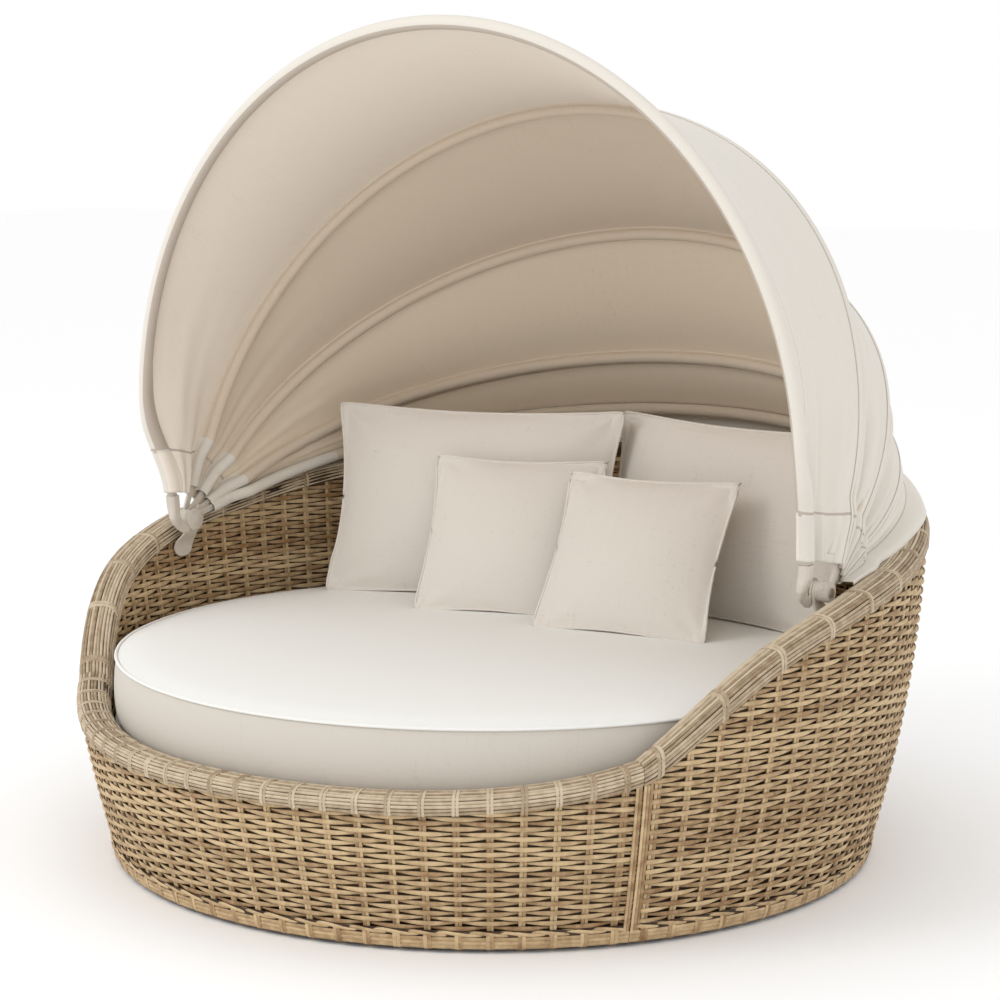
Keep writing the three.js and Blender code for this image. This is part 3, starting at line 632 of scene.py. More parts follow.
def along_outline(points, place):
    """Point and direction at a distance along an open outline."""
    for (ax, ay), (bx, by) in zip(points, points[1:]):
        length = math.hypot(bx - ax, by - ay)
        if place <= length or (bx, by) == points[-1]:
            share = min(place / length, 1)
            return (mix(ax, bx, share), mix(ay, by, share)), ((bx - ax) / length, (by - ay) / length)
        place -= length


def outline_length(points):
    return sum(math.dist(a, b) for a, b in zip(points, points[1:]))


def rounded_outline(points, steps):
    """An outline with its corners eased, at even distances."""
    total = outline_length(points)
    raw = [along_outline(points, total * i / steps)[0] for i in range(steps + 1)]
    eased = [raw[0]]
    for a, b, c in zip(raw, raw[1:], raw[2:]):
        eased.append(((a[0] + 2 * b[0] + c[0]) / 4, (a[1] + 2 * b[1] + c[1]) / 4))
    return [*eased, raw[-1]]


ALONG_STEP = 0.02
RIM_STRANDS_OUT = 0.0008
RIM_STRAND_THICKNESS = 0.0040
RIM_SWING = (0.0003, 0.0008)
WRAP_SHARP_DEGREES = 35


def rim_strands(sizes, name, run, seed):
    """The strands that run along the rim, side by side round its section."""
    rear, low, high = run
    outline = rounded_outline(rim_outline(RIM_STRANDS_OUT), 30)
    total = outline_length(outline)
    count = round(total / sizes.rim_strand)
    draw = random.Random(seed)
    steps = max(8, round((high - low) * ROUND / ALONG_STEP))
    paths = []
    for i in range(count):
        (inset, depth), (di, dz) = along_outline(outline, total * (i + 0.5) / count)
        tilt = math.atan2(-di, dz)
        wave = draw.uniform(0, ANY_PHASE)
        swing = draw.uniform(*RIM_SWING)
        path = []
        for k in range(steps + 1):
            turn = mix(low, high, k / steps)
            drift = swing * math.sin(turn * 17 + wave)
            path.append(((turn * ROUND, inset + drift * di, depth + drift * dz), 1.0, tilt))
        paths.append(path)
    section = flat_strand(total / count * 0.88, RIM_STRAND_THICKNESS)
    return strands(name, paths, section, "rim_wicker", bend=bent_to_rim(rear))


def wraps(name, places, outline, width, thickness, bend, look):
    """Flat strips wrapped round an outline at places along a run."""
    shape = bmesh.new()
    first = [shape.verts.new((-width / 2, inset, depth)) for inset, depth in outline]
    edges = [shape.edges.new(pair) for pair in zip(first, first[1:])]
    extruded = bmesh.ops.extrude_edge_only(shape, edges=edges)["geom"]
    moved = [v for v in extruded if isinstance(v, bmesh.types.BMVert)]
    bmesh.ops.translate(shape, verts=moved, vec=(width, 0, 0))
    faces = list(shape.faces)
    bmesh.ops.solidify(shape, geom=faces, thickness=thickness)
    bmesh.ops.recalc_face_normals(shape, faces=list(shape.faces))
    template = bpy.data.meshes.new(name + "_template")
    shape.to_mesh(template)
    shape.clear()
    for place in places:
        before = len(shape.verts)
        shape.from_mesh(template)
        shape.verts.ensure_lookup_table()
        bmesh.ops.translate(shape, verts=shape.verts[before:], vec=(place, 0, 0))
    bpy.data.meshes.remove(template)
    return bent(from_bmesh(name, shape, look, WRAP_SHARP_DEGREES), bend)


def double(places, width):
    """Two places, side by side, for each one given."""
    return [p + side * width * 0.54 for p in places for side in (-1, 1)]


# Operators


def tint(name, description, colour):
    return FloatVectorProperty(
        name=name, description=description, size=3, subtype="COLOR", default=linear(colour),
    )


def size(name, description, default):
    return FloatProperty(name=name, description=description, default=default, unit="LENGTH")


class DaybedColours(bpy.types.PropertyGroup):
    wicker_pale: tint("Wicker, pale", "Palest tone of the strands", 0xCEB48B)
    wicker_deep: tint("Wicker, deep", "Deepest tone of the strands", 0x876540)
    fittings: tint("Fittings", "Powder coat of the bows and pivots", 0xCFC6BA)
    mattress: tint("Mattress", "Mattress cover", 0xE9E8E4)
    # The sides are drawn darker than the top: painted shade for light that falls from above.
    mattress_side: tint("Mattress sides", "Boxing of the mattress", 0xCAC3B9)
    pillow: tint("Pillows", "Pillow covers", 0xD8D1C8)
    canopy: tint("Canopy", "Outer face of the canopy", 0xDBD5CB)
    # A darker taupe: painted shade on the inner side of the front fold, and the colour of the cuffs' seam
    # lines.
    edging: tint("Edging", "Bands and seams of the canopy", 0xB9ADA0)


class DaybedSizes(bpy.types.PropertyGroup):
    row_pitch: size("Row pitch", "Height of one row of the weave", 0.0100)
    stake_pitch: size("Stake pitch", "Distance between the upright stakes", 0.0607)
    stake_width: size("Stake width", "Width of one strip of a double stake", 0.0062)
    strand_width: size("Strand width", "Width of a flat strand of the wall", 0.0096)
    rim_strand: size("Rim strand", "Width of a strand of the rim", 0.0070)


def looks_of(context):
    return context.scene.daybed_colours


def sizes_of(context):
    return context.scene.daybed_sizes


FLOOR_SIZE = 30
LAMP_SIZE = 3.0
LAMP_AIM = (0, 0, 0.5)
LAMPS = (("key", (-2.7, -4.6, 4.2), 85), ("right", (3.5, -4.5, 3.4), 18))
CAMERA_PLACE = (3.141, -4.414, 1.512)
CAMERA_AIM = (-0.1145, 0.1904, 0.6962)
CAMERA_LENS = 93.75


def aimed(name, data, place, target):
    """Adds a lamp or a camera at a place and turns it towards a target."""
    made = bpy.data.objects.new(name, data)
    made.location = place
    made.rotation_euler = (Vector(target) - made.location).to_track_quat("-Z", "Y").to_euler()
    bpy.context.scene.collection.objects.link(made)
    return made


class DAYBED_OT_stage(bpy.types.Operator):
    """Sets up the pale floor, the studio light and the camera."""

    bl_idname = "daybed.stage"
    bl_label = "Stage"

    def execute(self, context):
        scene = context.scene
        scene.view_settings.view_transform = "Standard"
        LOOKS["floor"], _, shader = new_material("studio_floor")
        shader.inputs["Base Color"].default_value = rgba(linear(0xFDFDFD))
        shader.inputs["Roughness"].default_value = 0.9
        shape = bmesh.new()
        bmesh.ops.create_grid(shape, x_segments=1, y_segments=1, size=FLOOR_SIZE)
        from_bmesh("studio_floor", shape, "floor")

        world = bpy.data.worlds.new("studio")
        world.use_nodes = True
        background = world.node_tree.nodes["Background"]
        background.inputs["Color"].default_value = (1.0, 1.0, 1.0, 1.0)
        background.inputs["Strength"].default_value = 1.0
        scene.world = world

        for name, place, power in LAMPS:
            data = bpy.data.lights.new(name, "AREA")
            data.shape = "DISK"
            data.size = LAMP_SIZE
            data.energy = power
            aimed(name, data, place, LAMP_AIM)

        data = bpy.data.cameras.new("camera")
        data.sensor_width = 36
        data.lens = CAMERA_LENS
        data.clip_end = 100
        scene.camera = aimed("camera", data, CAMERA_PLACE, CAMERA_AIM)
        return {"FINISHED"}


LOOK_OF_SLOT = {
    "frame": "frame",
    "hardware": "coat",
    "bolt": "steel",
    "slat": "timber",
    "glide": "rubber",
    # The woven solids of the frame take the same dark brown: painted shade.
    "weave": "weave_painted_shade",
}


class DAYBED_OT_finishes(bpy.types.Operator):
    """Gives every rigid piece of the frame, the deck and the fittings its material."""

    bl_idname = "daybed.finishes"
    bl_label = "Finishes of the frame"

    def execute(self, context):
        for part in frame["record"]["subparts"]:
            look = LOOK_OF_SLOT.get(part["material_slot"])
            if look is not None:
                for slot in frame["nodes"][part["node"]].material_slots:
                    slot.material = LOOKS[look]
        return {"FINISHED"}


# The cap's back, across from the middle, and its radii and heights over that back in millimetres
CAP_BACK = 0.7917
CAP_TURNS = 48
CAP_PROFILE = (
    (0, 5.4), (6.3, 5.4), (6.3, 0), (25.2, 0), (26, 0.8), (26, 2.6), (25.2, 4.0), (23.4, 5.1), (20.6, 5.9),
    (19.0, 6.2), (18.4, 5.8), (17.6, 6.3), (15.6, 7.4), (12.6, 8.3), (10.2, 8.7), (9.4, 8.3), (8.6, 8.7),
    (6.2, 9.6), (3.0, 9.95), (0, 10),
)


class DAYBED_OT_fittings(bpy.types.Operator):
    """Makes the cast knuckles and brackets and the turned caps of the two pivots."""

    bl_idname = "daybed.fittings"
    bl_label = "Pivot fittings"

    def execute(self, context):
        for side, name in ((1, "right"), (-1, "left")):
            for kind, body in (("front_knuckle", "front"), ("pivot_bracket", "base")):
                piece = cast_copy(f"{kind}_{name}", f"{kind}_{name}_cast", "coat")
                in_frame(piece, body, f"{kind}_{name}")
            shape = bmesh.new()
            line = [
                shape.verts.new((side * (CAP_BACK - depth / 1000), PIVOT.y, PIVOT.z + radius / 1000))
                for radius, depth in CAP_PROFILE
            ]
            edges = [shape.edges.new(pair) for pair in zip(line, line[1:])]
            bmesh.ops.spin(
                shape, geom=[*line, *edges], cent=PIVOT, axis=(1, 0, 0), angle=2 * math.pi,
                steps=CAP_TURNS, use_merge=True,
            )
            bmesh.ops.remove_doubles(shape, verts=shape.verts, dist=1e-6)
            bmesh.ops.recalc_face_normals(shape, faces=shape.faces)
            cap = from_bmesh(f"pivot_cap_{name}_turned", shape, "coat", sharp_degrees=35)
            in_frame(cap, "base", f"pivot_cap_{name}")
        return {"FINISHED"}


STRAND_THICKNESS = 0.0046
STRAND_SWING = 0.0042
# The faces of a wall: inset of the strands and of the dark sheet of painted shade behind them, the way the
# strands swing, and the foot
WALL_FACES = (
    ("outer", 0.0036, 0.0112, 1, BAND_TOP),
    ("inner", 0.0544, 0.0468, -1, INNER_FOOT),
)


class DAYBED_OT_walls(bpy.types.Operator):
    """Weaves the outer and inner walls of the tub over their stakes."""

    bl_idname = "daybed.walls"
    bl_label = "Woven walls"

    def execute(self, context):
        sizes = sizes_of(context)
        section = flat_strand(sizes.strand_width, STRAND_THICKNESS)
        for name, run in RUNS.items():
            half = "rear" if run[0] else "front"
            for side, inset, behind, way, lowest in WALL_FACES:
                paths = woven_rows(sizes, run, inset, way * STRAND_SWING, lowest, name + side)
                rows = strands(f"wicker_{side}_{name}", paths, section, "wicker", bend=bent_to_wall)
                stakes = wall_stakes(sizes, f"stakes_{side}_{name}", run, inset, lowest)
                # A dark sheet behind the strands: painted shade seen through the weave.
                shade_sheet = painted_shade_sheet(f"weave_shade_sheet_{side}_{name}", run, behind, lowest)
                for piece in (rows, stakes, shade_sheet):
                    in_frame(piece, "base", f"{half}_weave_{side}")
            in_frame(seam_strips(sizes, f"seam_strips_{name}", run), "base")
        return {"FINISHED"}


RIM_WRAPS_OUT = 0.0034
RIM_WRAP_PITCH = 0.0064
RIM_WRAP_WIDTH = 0.0056
RIM_WRAP_THICKNESS = 0.0016
FOOT_WRAP_WIDTH = 0.0074
FOOT_WRAP_THICKNESS = 0.0012
# The section that the foot band's wraps go round: inset and height, from its top edge to its underside
FOOT_EDGE = (
    (0.006, BAND_TOP - 0.006), (-0.0052, BAND_TOP - 0.007), (-0.0056, 0.020), (-0.005, 0.0075),
    (0.030, 0.0065),
)
# The strands of the foot band: height and inset of each row
FOOT_ROWS = ((0.0130, -0.0036), (0.0208, -0.0042), (0.0286, -0.0042))
FOOT_STRAND_WIDTH = 0.0118
FOOT_ROW_SCALE = 0.72
TWIST_SCALE = 0.66
TWIST_HEIGHT = 0.0388
TWIST_RISE = 0.0030
TWIST_INSET = -0.0012
TWIST_SWING = 0.002
TWIST_SAMPLES = 8


class DAYBED_OT_rims(bpy.types.Operator):
    """Lays the strands along the rims and the foot bands, and wraps them."""

    bl_idname = "daybed.rims"
    bl_label = "Rims and foot bands"

    def execute(self, context):
        sizes = sizes_of(context)
        for name, run in RUNS.items():
            rear, low, high = run
            places = [t * ROUND for t in stake_turns(low, high, run_stakes(sizes, low, high))]
            wrapped = double(places[::2] if rear else places, RIM_WRAP_PITCH)
            pieces = (
                rim_strands(sizes, "rim_strands_" + name, run, name),
                wraps(
                    "rim_wraps_" + name, wrapped, rounded_outline(rim_outline(RIM_WRAPS_OUT), 18),
                    RIM_WRAP_WIDTH, RIM_WRAP_THICKNESS, bent_to_rim(rear), "rim_wicker",
                ),
                foot_strands(sizes, "foot_strands_" + name, run),
                wraps(
                    "foot_wraps_" + name, double(places, FOOT_WRAP_WIDTH), rounded_outline(FOOT_EDGE, 12),
                    FOOT_WRAP_WIDTH, FOOT_WRAP_THICKNESS, bent_to_wall, "wicker",
                ),
            )
            for piece in pieces:
                in_frame(piece, "base")
        return {"FINISHED"}


def foot_strands(sizes, name, run):
    """The strands of the foot band, and the two twisted ones above it."""
    _, low, high = run
    steps = round((high - low) * ROUND / ALONG_STEP)
    turns = [mix(low, high, k / steps) for k in range(steps + 1)]
    paths = []
    for height, inset in FOOT_ROWS:
        paths.append([((t * ROUND, inset, height), FOOT_ROW_SCALE, 0.0) for t in turns])
    count = run_stakes(sizes, low, high)
    pitch = (high - low) / count
    fine = count * TWIST_SAMPLES
    for side in (-1, 1):
        path = []
        for turn in [mix(low, high, k / fine) for k in range(fine + 1)]:
            phase = math.pi * (turn - low) / pitch
            rise = side * math.cos(phase) * TWIST_RISE
            inset = TWIST_INSET - TWIST_SWING * side * math.sin(phase)
            path.append(((turn * ROUND, inset, TWIST_HEIGHT + rise), TWIST_SCALE, 0.0))
        paths.append(path)
    section = flat_strand(FOOT_STRAND_WIDTH, STRAND_THICKNESS)
    return strands(name, paths, section, "wicker", bend=bent_to_wall)


# Cushions


PUFF_FRAMES = 20


def puffed(obj, pressure, cap, slack, pins=None):
    """Lets the cover of a cushion swell under pressure, and keeps each point within cap of where it was."""
    scene = bpy.context.scene
    before = coordinates(obj.data)
    cloth = obj.modifiers.new("puff", "CLOTH")
    settings = cloth.settings
    settings.quality = 5
    settings.mass = 0.3
    settings.tension_stiffness = 20
    settings.compression_stiffness = 20
    settings.bending_stiffness = 0.4
    settings.use_pressure = True
    settings.uniform_pressure_force = pressure
    settings.shrink_min = -slack
    settings.effector_weights.gravity = 0
    if pins:
        group = obj.vertex_groups.new(name="seam")
        group.add(pins, 1.0, "REPLACE")
        settings.vertex_group_mass = "seam"
    cloth.collision_settings.use_collision = False
    cloth.point_cache.frame_start = 1
    cloth.point_cache.frame_end = PUFF_FRAMES
    for step in range(1, PUFF_FRAMES + 1):
        scene.frame_set(step)
    swollen = obj.evaluated_get(bpy.context.evaluated_depsgraph_get())
    after = coordinates(swollen.data)
    obj.modifiers.clear()
    scene.frame_set(1)
    moved = after - before
    length = np.maximum(np.linalg.norm(moved, axis=1, keepdims=True), 1e-9)
    set_coordinates(obj.data, before + moved / length * cap * np.tanh(length / cap))
    obj.vertex_groups.clear()


def refined(obj):
    """Makes one round of subdivision real."""
    subdivision = obj.modifiers.new("refine", "SUBSURF")
    subdivision.levels = subdivision.render_levels = 1
    return baked(obj)


def cord_along(name, points, radius, look):
    """A closed piping cord."""
    sides = [(radius * math.cos(a), radius * math.sin(a)) for a in np.linspace(0, 2 * math.pi, 9)[:-1]]
    path = [(tuple(p), 1.0, 0.0) for p in points]
    return strands(name, [path], sides, look, closed=True, smooth_angle=None)


MATTRESS_TURNS = 144
MATTRESS_BULGE = 0.0045
MATTRESS_CORD = 0.0035
MATTRESS_CORD_OUT = 0.002
PILLOW_CORD = 0.0028


def mattress_profile():
    """Radius and height from the middle of the underside to the middle of the top, and the two seams."""
    drawn = MATTRESS_RADIUS - PIPING
    low, high = MATTRESS_FOOT + 2 * PIPING, MATTRESS_EDGE - PIPING
    points = [(drawn * share, MATTRESS_FOOT) for share in (0, 0.25, 0.5, 0.75, 0.9, 0.965)]
    points.append((drawn, low))
    seams = [len(points) - 1]
    for k in range(1, 9):
        points.append((drawn + MATTRESS_BULGE * math.sin(math.pi * k / 9), mix(low, high, k / 9)))
    points.append((drawn, high))
    seams.append(len(points) - 1)
    for k in range(1, 31):
        share = 1 - (k / 30) ** 1.5
        rise = MATTRESS_EDGE - high + MATTRESS_CROWN * (1 - share**5)
        points.append((drawn * share, high + rise * smooth((1 - share) / 0.045) ** 0.6))
    return points, seams


class DAYBED_OT_mattress(bpy.types.Operator):
    """Makes the round mattress: boxed sides between two piped seams and a crowned top."""

    bl_idname = "daybed.mattress"
    bl_label = "Mattress"

    def execute(self, context):
        points, seams = mattress_profile()
        shape = bmesh.new()
        line = [shape.verts.new((r, 0, z)) for r, z in points]
        edges = [shape.edges.new(pair) for pair in zip(line, line[1:])]
        bmesh.ops.spin(
            shape, geom=[*line, *edges], cent=(0, 0, 0), axis=(0, 0, 1), angle=2 * math.pi,
            steps=MATTRESS_TURNS, use_merge=True,
        )
        bmesh.ops.remove_doubles(shape, verts=shape.verts, dist=1e-5)
        bmesh.ops.recalc_face_normals(shape, faces=shape.faces)
        bmesh.ops.translate(shape, verts=shape.verts, vec=(0, MATTRESS_SHIFT, 0))
        piece = from_bmesh("mattress_cushion", shape, "mattress")
        co = coordinates(piece.data)
        radius = np.hypot(co[:, 0], co[:, 1] - MATTRESS_SHIFT)
        pinned = np.zeros(len(co), bool)
        for seam in seams:
            r, z = points[seam]
            pinned |= (np.abs(radius - r) < 1e-4) & (np.abs(co[:, 2] - z) < 1e-4)
        under = co[:, 2] < MATTRESS_FOOT + 1e-4
        pins = [int(i) for i in np.nonzero(pinned | under)[0]]
        puffed(piece, pressure=2.5, cap=0.006, slack=0.004, pins=pins)
        refined(piece)
        # Faces on the sides take the darker tone: painted shade under the top's edge.
        piece.data.materials.append(LOOKS["mattress_side"])
        for face in piece.data.polygons:
            if face.center.z < points[seams[1]][1] and abs(face.normal.z) < 0.7:
                face.material_index = 1
        in_frame(piece, "base", "mattress")
        for seam, name in zip(seams, ("lower", "upper")):
            r, z = points[seam][0] + MATTRESS_CORD_OUT, points[seam][1]
            turns = np.linspace(0, 2 * math.pi, 181)[:-1]
            ring = [(r * math.cos(a), MATTRESS_SHIFT + r * math.sin(a), z) for a in turns]
            cord = cord_along("mattress_piping_" + name, ring, MATTRESS_CORD, "mattress")
            in_frame(cord, "base")
        return {"FINISHED"}


# The pillows, as the source places them: width, height, thickness, right, back, facing and lean
PILLOWS = {
    "back_pillow_left": (0.680, 0.450, 0.145, -0.295, 0.310, 17, 14),
    "back_pillow_right": (0.680, 0.450, 0.145, 0.285, 0.395, -9, 16),
    "scatter_pillow_left": (0.400, 0.370, 0.115, -0.104, 0.170, 18, 28),
    "scatter_pillow_right": (0.400, 0.370, 0.115, 0.232, 0.118, 8, 32),
}


# How much wider and taller a cover is cut than the solid that it stands for, before its sides are drawn in
PILLOW_WIDER = 1.05
PILLOW_TALLER = {"back": 1.03, "scatter": 1.06}
PILLOW_STEP = 0.011
PILLOW_DRAW = 0.085
PILLOW_FACE = 0.90
PILLOW_ROUNDING = 0.035
CREASE_DEPTH = 0.0035
CREASES = 7.5
CREASE_FROM = 0.2
CREASE_LENGTH = 0.5
CREASE_SEAM_SHARE = 0.08


def pillow_point(u, v, width, height, thickness, face):
    """A point of a pillow's cover: its sides are drawn in between rounded corners, its face is domed, and
    creases run out from the corners. They fade out at the seam, so that both faces meet in it."""
    corner = 1 - PILLOW_ROUNDING * (u * u * v * v) ** 3
    x = u * width / 2 * (1 - PILLOW_DRAW * (1 - v * v)) * corner
    z = v * height / 2 * (1 - PILLOW_DRAW * (1 - u * u)) * corner + height / 2
    dome = (max(0, 1 - u * u) * max(0, 1 - v * v)) ** 0.68
    inset, drop = 1 - abs(u), 1 - abs(v)
    away = math.hypot(inset, drop)
    crease = math.sin(CREASES * math.atan2(drop, inset) + u + 2 * v)
    crease *= smooth(away / CREASE_FROM)
    crease *= 1 - smooth((away - CREASE_FROM) / CREASE_LENGTH)
    crease *= smooth(min(inset, drop) / CREASE_SEAM_SHARE)
    return Vector((x, face * (thickness / 2 * dome + CREASE_DEPTH * float(crease)), z))


def pillow_cover(name, width, height, thickness):
    """The two faces of a pillow, sewn together along their borders."""
    shape = bmesh.new()
    columns, rows = round(width / PILLOW_STEP), round(height / PILLOW_STEP)
    bmesh.ops.create_grid(shape, x_segments=columns, y_segments=rows, size=1)
    copied = bmesh.ops.duplicate(shape, geom=[*shape.verts, *shape.edges, *shape.faces])["geom"]
    rear = {v for v in copied if isinstance(v, bmesh.types.BMVert)}
    bmesh.ops.reverse_faces(shape, faces=[f for f in copied if isinstance(f, bmesh.types.BMFace)])
    places = [(v.co.x, v.co.y) for v in shape.verts]
    cut = width * PILLOW_WIDER, height * PILLOW_TALLER[name.split("_")[0]], thickness
    for vert, (u, v) in zip(shape.verts, places):
        vert.co = pillow_point(u, v, *cut, PILLOW_FACE if vert in rear else -PILLOW_FACE)
    border = shape.verts.layers.int.new("border")
    turn = shape.verts.layers.float.new("border_turn")
    for vert, (u, v) in zip(shape.verts, places):
        vert[border] = int(max(abs(u), abs(v)) > 0.9999)
        vert[turn] = math.atan2(v, u)
    bmesh.ops.remove_doubles(shape, verts=shape.verts, dist=1e-5)
    bmesh.ops.recalc_face_normals(shape, faces=shape.faces)
    held = shape.edges.layers.float.new("crease_edge")
    for edge in shape.edges:
        edge[held] = float(edge.verts[0][border] and edge.verts[1][border])
    return from_bmesh(name + "_cushion", shape, "pillow")


def seam_round(piece):
    """The places of a pillow's seam, in order round it."""
    border = np.zeros(len(piece.data.vertices), np.int32)
    turns = np.zeros(len(piece.data.vertices), np.float32)
    piece.data.attributes["border"].data.foreach_get("value", border)
    piece.data.attributes["border_turn"].data.foreach_get("value", turns)
    co = coordinates(piece.data)
    return [co[i] for i in sorted(np.nonzero(border)[0], key=lambda i: turns[i])]


class DAYBED_OT_pillows(bpy.types.Operator):
    """Makes the four pillows: two faces sewn at a piped seam and filled."""

    bl_idname = "daybed.pillows"
    bl_label = "Pillows"

    def execute(self, context):
        for name, (width, height, thickness, right, back, facing, lean) in PILLOWS.items():
            piece = pillow_cover(name, width, height, thickness)
            puffed(piece, pressure=1.6, cap=0.008, slack=0.02)
            cord = cord_along(name + "_piping", seam_round(piece), PILLOW_CORD, "pillow")
            refined(piece)
            faced = Matrix.Rotation(math.radians(facing), 4, "Z")
            holder = faced @ Matrix.Rotation(math.radians(-lean), 4, "X")
            piece.data.transform(holder)
            cord.data.transform(holder)
            low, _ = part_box(name)
            rise = low.z - coordinates(piece.data)[:, 2].min()
            for made in (piece, cord):
                made.data.transform(Matrix.Translation((right, back, rise)))
            in_frame(piece, "base", name)
            in_frame(cord, "base")
        return {"FINISHED"}


# Canopy


BOW_SAMPLES = 1201
# How far the cranked front bow stands off its plane at its legs and above them, and where it goes over
CRANK_OFFSETS = (0.055, 0.110)
CRANK_FROM = 0.062
CRANK_LENGTH = 0.240
CUFF_ROOM = 0.0045
CUFF_ROOM_TO = 0.045
CUFF_ROOM_FADE = 0.03


class BowLine:
    """The middle line of a bow: half an ellipse on two near-straight legs, in a plane that turns about
    the pivot."""

    def __init__(
        self, half_width, reach, angle, start, end_width, springing=0.200, leg_start=0.138, cranked=False,
    ):
        self.cranked = cranked
        self.angle = math.radians(angle)
        self.forward = np.array([0, -math.sin(self.angle), math.cos(self.angle)])
        leg = springing - start
        rise = reach - springing
        leg_share = leg / (leg + math.pi / 2 * math.hypot(half_width, rise) * math.sqrt(0.5))
        t = np.linspace(0, 1, BOW_SAMPLES)
        from_top = np.abs(1 - 2 * t)
        side = np.where(t < 0.5, 1, -1)
        on_leg = from_top > 1 - leg_share
        along = mix(start, springing, np.clip((1 - from_top) / leg_share, 0, 1))
        leg_width = mix(end_width, half_width, smooth((along - leg_start) / (springing - leg_start)))
        turn = math.pi / 2 * (1 - from_top / (1 - leg_share))
        reach_at = np.where(on_leg, along, springing + rise * np.sin(np.maximum(turn, 0)))
        across = side * np.where(on_leg, leg_width, half_width * np.cos(np.maximum(turn, 0)))
        offset = np.zeros_like(t)
        if cranked:
            offset = mix(*CRANK_OFFSETS, smooth((reach_at - CRANK_FROM) / CRANK_LENGTH))
        c, s = math.cos(self.angle), math.sin(self.angle)
        back = PIVOT.y + reach_at * c - offset * s
        up = PIVOT.z + reach_at * s + offset * c
        self.points = np.stack([across, back, up], 1)
        steps = np.linalg.norm(np.diff(self.points, axis=0), axis=1)
        self.length = steps.sum()
        self.places = np.concatenate([[0], np.cumsum(steps)]) / self.length
        tangent = np.gradient(self.points, axis=0)
        out = np.cross(tangent, self.forward)
        self.outs = out / np.linalg.norm(out, axis=1, keepdims=True)

    def at(self, u):
        """Middle, outward direction and crest at a share of the length."""
        middle = np.stack([np.interp(u, self.places, self.points[:, k]) for k in range(3)], -1)
        out = np.stack([np.interp(u, self.places, self.outs[:, k]) for k in range(3)], -1)
        out = out / np.linalg.norm(out, axis=-1, keepdims=True)
        return middle, out, middle + out * self.sleeve(u)

    def sleeve(self, u):
        """Radius of the cloth round the bow: the front bow's cuffs are wider, as its tube turns in them."""
        end = np.minimum(u, 1 - u)
        room = CUFF_ROOM * (1 - smooth((end - CUFF_ROOM_TO) / CUFF_ROOM_FADE)) if self.cranked else 0 * end
        return (RIDGE + room)[..., None]

    def kept_clear(self, u, co, toward):
        """How far points in the bow's sleeve must move to lie on it, on the side that toward points to."""
        middle, out, _ = self.at(u)
        ahead = np.cross(self.forward, out)
        away = co - middle
        away = away - ahead * np.sum(away * ahead, axis=-1, keepdims=True)
        near = np.linalg.norm(away, axis=-1, keepdims=True)
        radius = self.sleeve(u)
        push = away + toward * radius * np.maximum(1 - near / radius, 0)
        push = push / np.linalg.norm(push, axis=-1, keepdims=True)
        return push * np.maximum(near, radius) - away


BOWS = {
    "front": BowLine(0.825, 1.091, 92.1, 0.070, 0.806, springing=0.241, leg_start=0.062, cranked=True),
    "second": BowLine(0.812, 1.005, 66.1, 0.058, 0.8265),
    "third": BowLine(0.803, 0.962, 41.5, 0.058, 0.8202),
    "fourth": BowLine(0.795, 0.918, 22, 0.058, 0.8139),
    "hem": BowLine(0.788, 0.950, 13, 0.058, 0.8076),
}
BODY_OF_BOW = {"front": "front", "second": "second", "third": "third", "fourth": "fourth", "hem": "base"}
PANELS = {
    "cover_front": ("front", "second"),
    "cover_second": ("second", "third"),
    "cover_third": ("third", "fourth"),
    "cover_rear": ("fourth", "hem"),
}
SAG_SHARE = 0.055
FOLD_DEPTH = 0.0115
# How deep the folds are on each side of the daybed, and how far up the bows they reach
RIGHT_GATHER, RIGHT_FADE = 1.5, 0.40
LEFT_GATHER, LEFT_FADE = 0.4, 0.26
# The folds' waves: height, count across a panel and along a bow, and how far side and panel shift them
WAVES = ((0.50, 1.5, 4.6, 1, 1), (0.35, 2.8, -3.1, 2, 1), (0.30, 4.6, 1.3, 1, 0))
SIDE_SHIFT = 1.7
PANEL_SHIFT = 1.3
FOLDED_CHORD = 0.09
PUCKER_DEPTH = 0.0035
PUCKERS = 3.5
PLEAT_DEPTH = 0.034
PLEAT_FROM = 0.015
PLEAT_FADE = 0.13
CUFF_END = 0.035
CUFF_STEP = 0.002
CUFF_SEAM = 0.0017
STATIONS = 240
ACROSS = 30
CLOTH = 0.0018


def spaced(u):
    """Stations along a bow, closer together near the pivots."""
    return u - 0.6 / (2 * math.pi) * np.sin(2 * math.pi * u)


def chord_at(panel, u):
    first, last = PANELS[panel]
    return np.linalg.norm(BOWS[last].at(u)[2] - BOWS[first].at(u)[2], axis=-1)


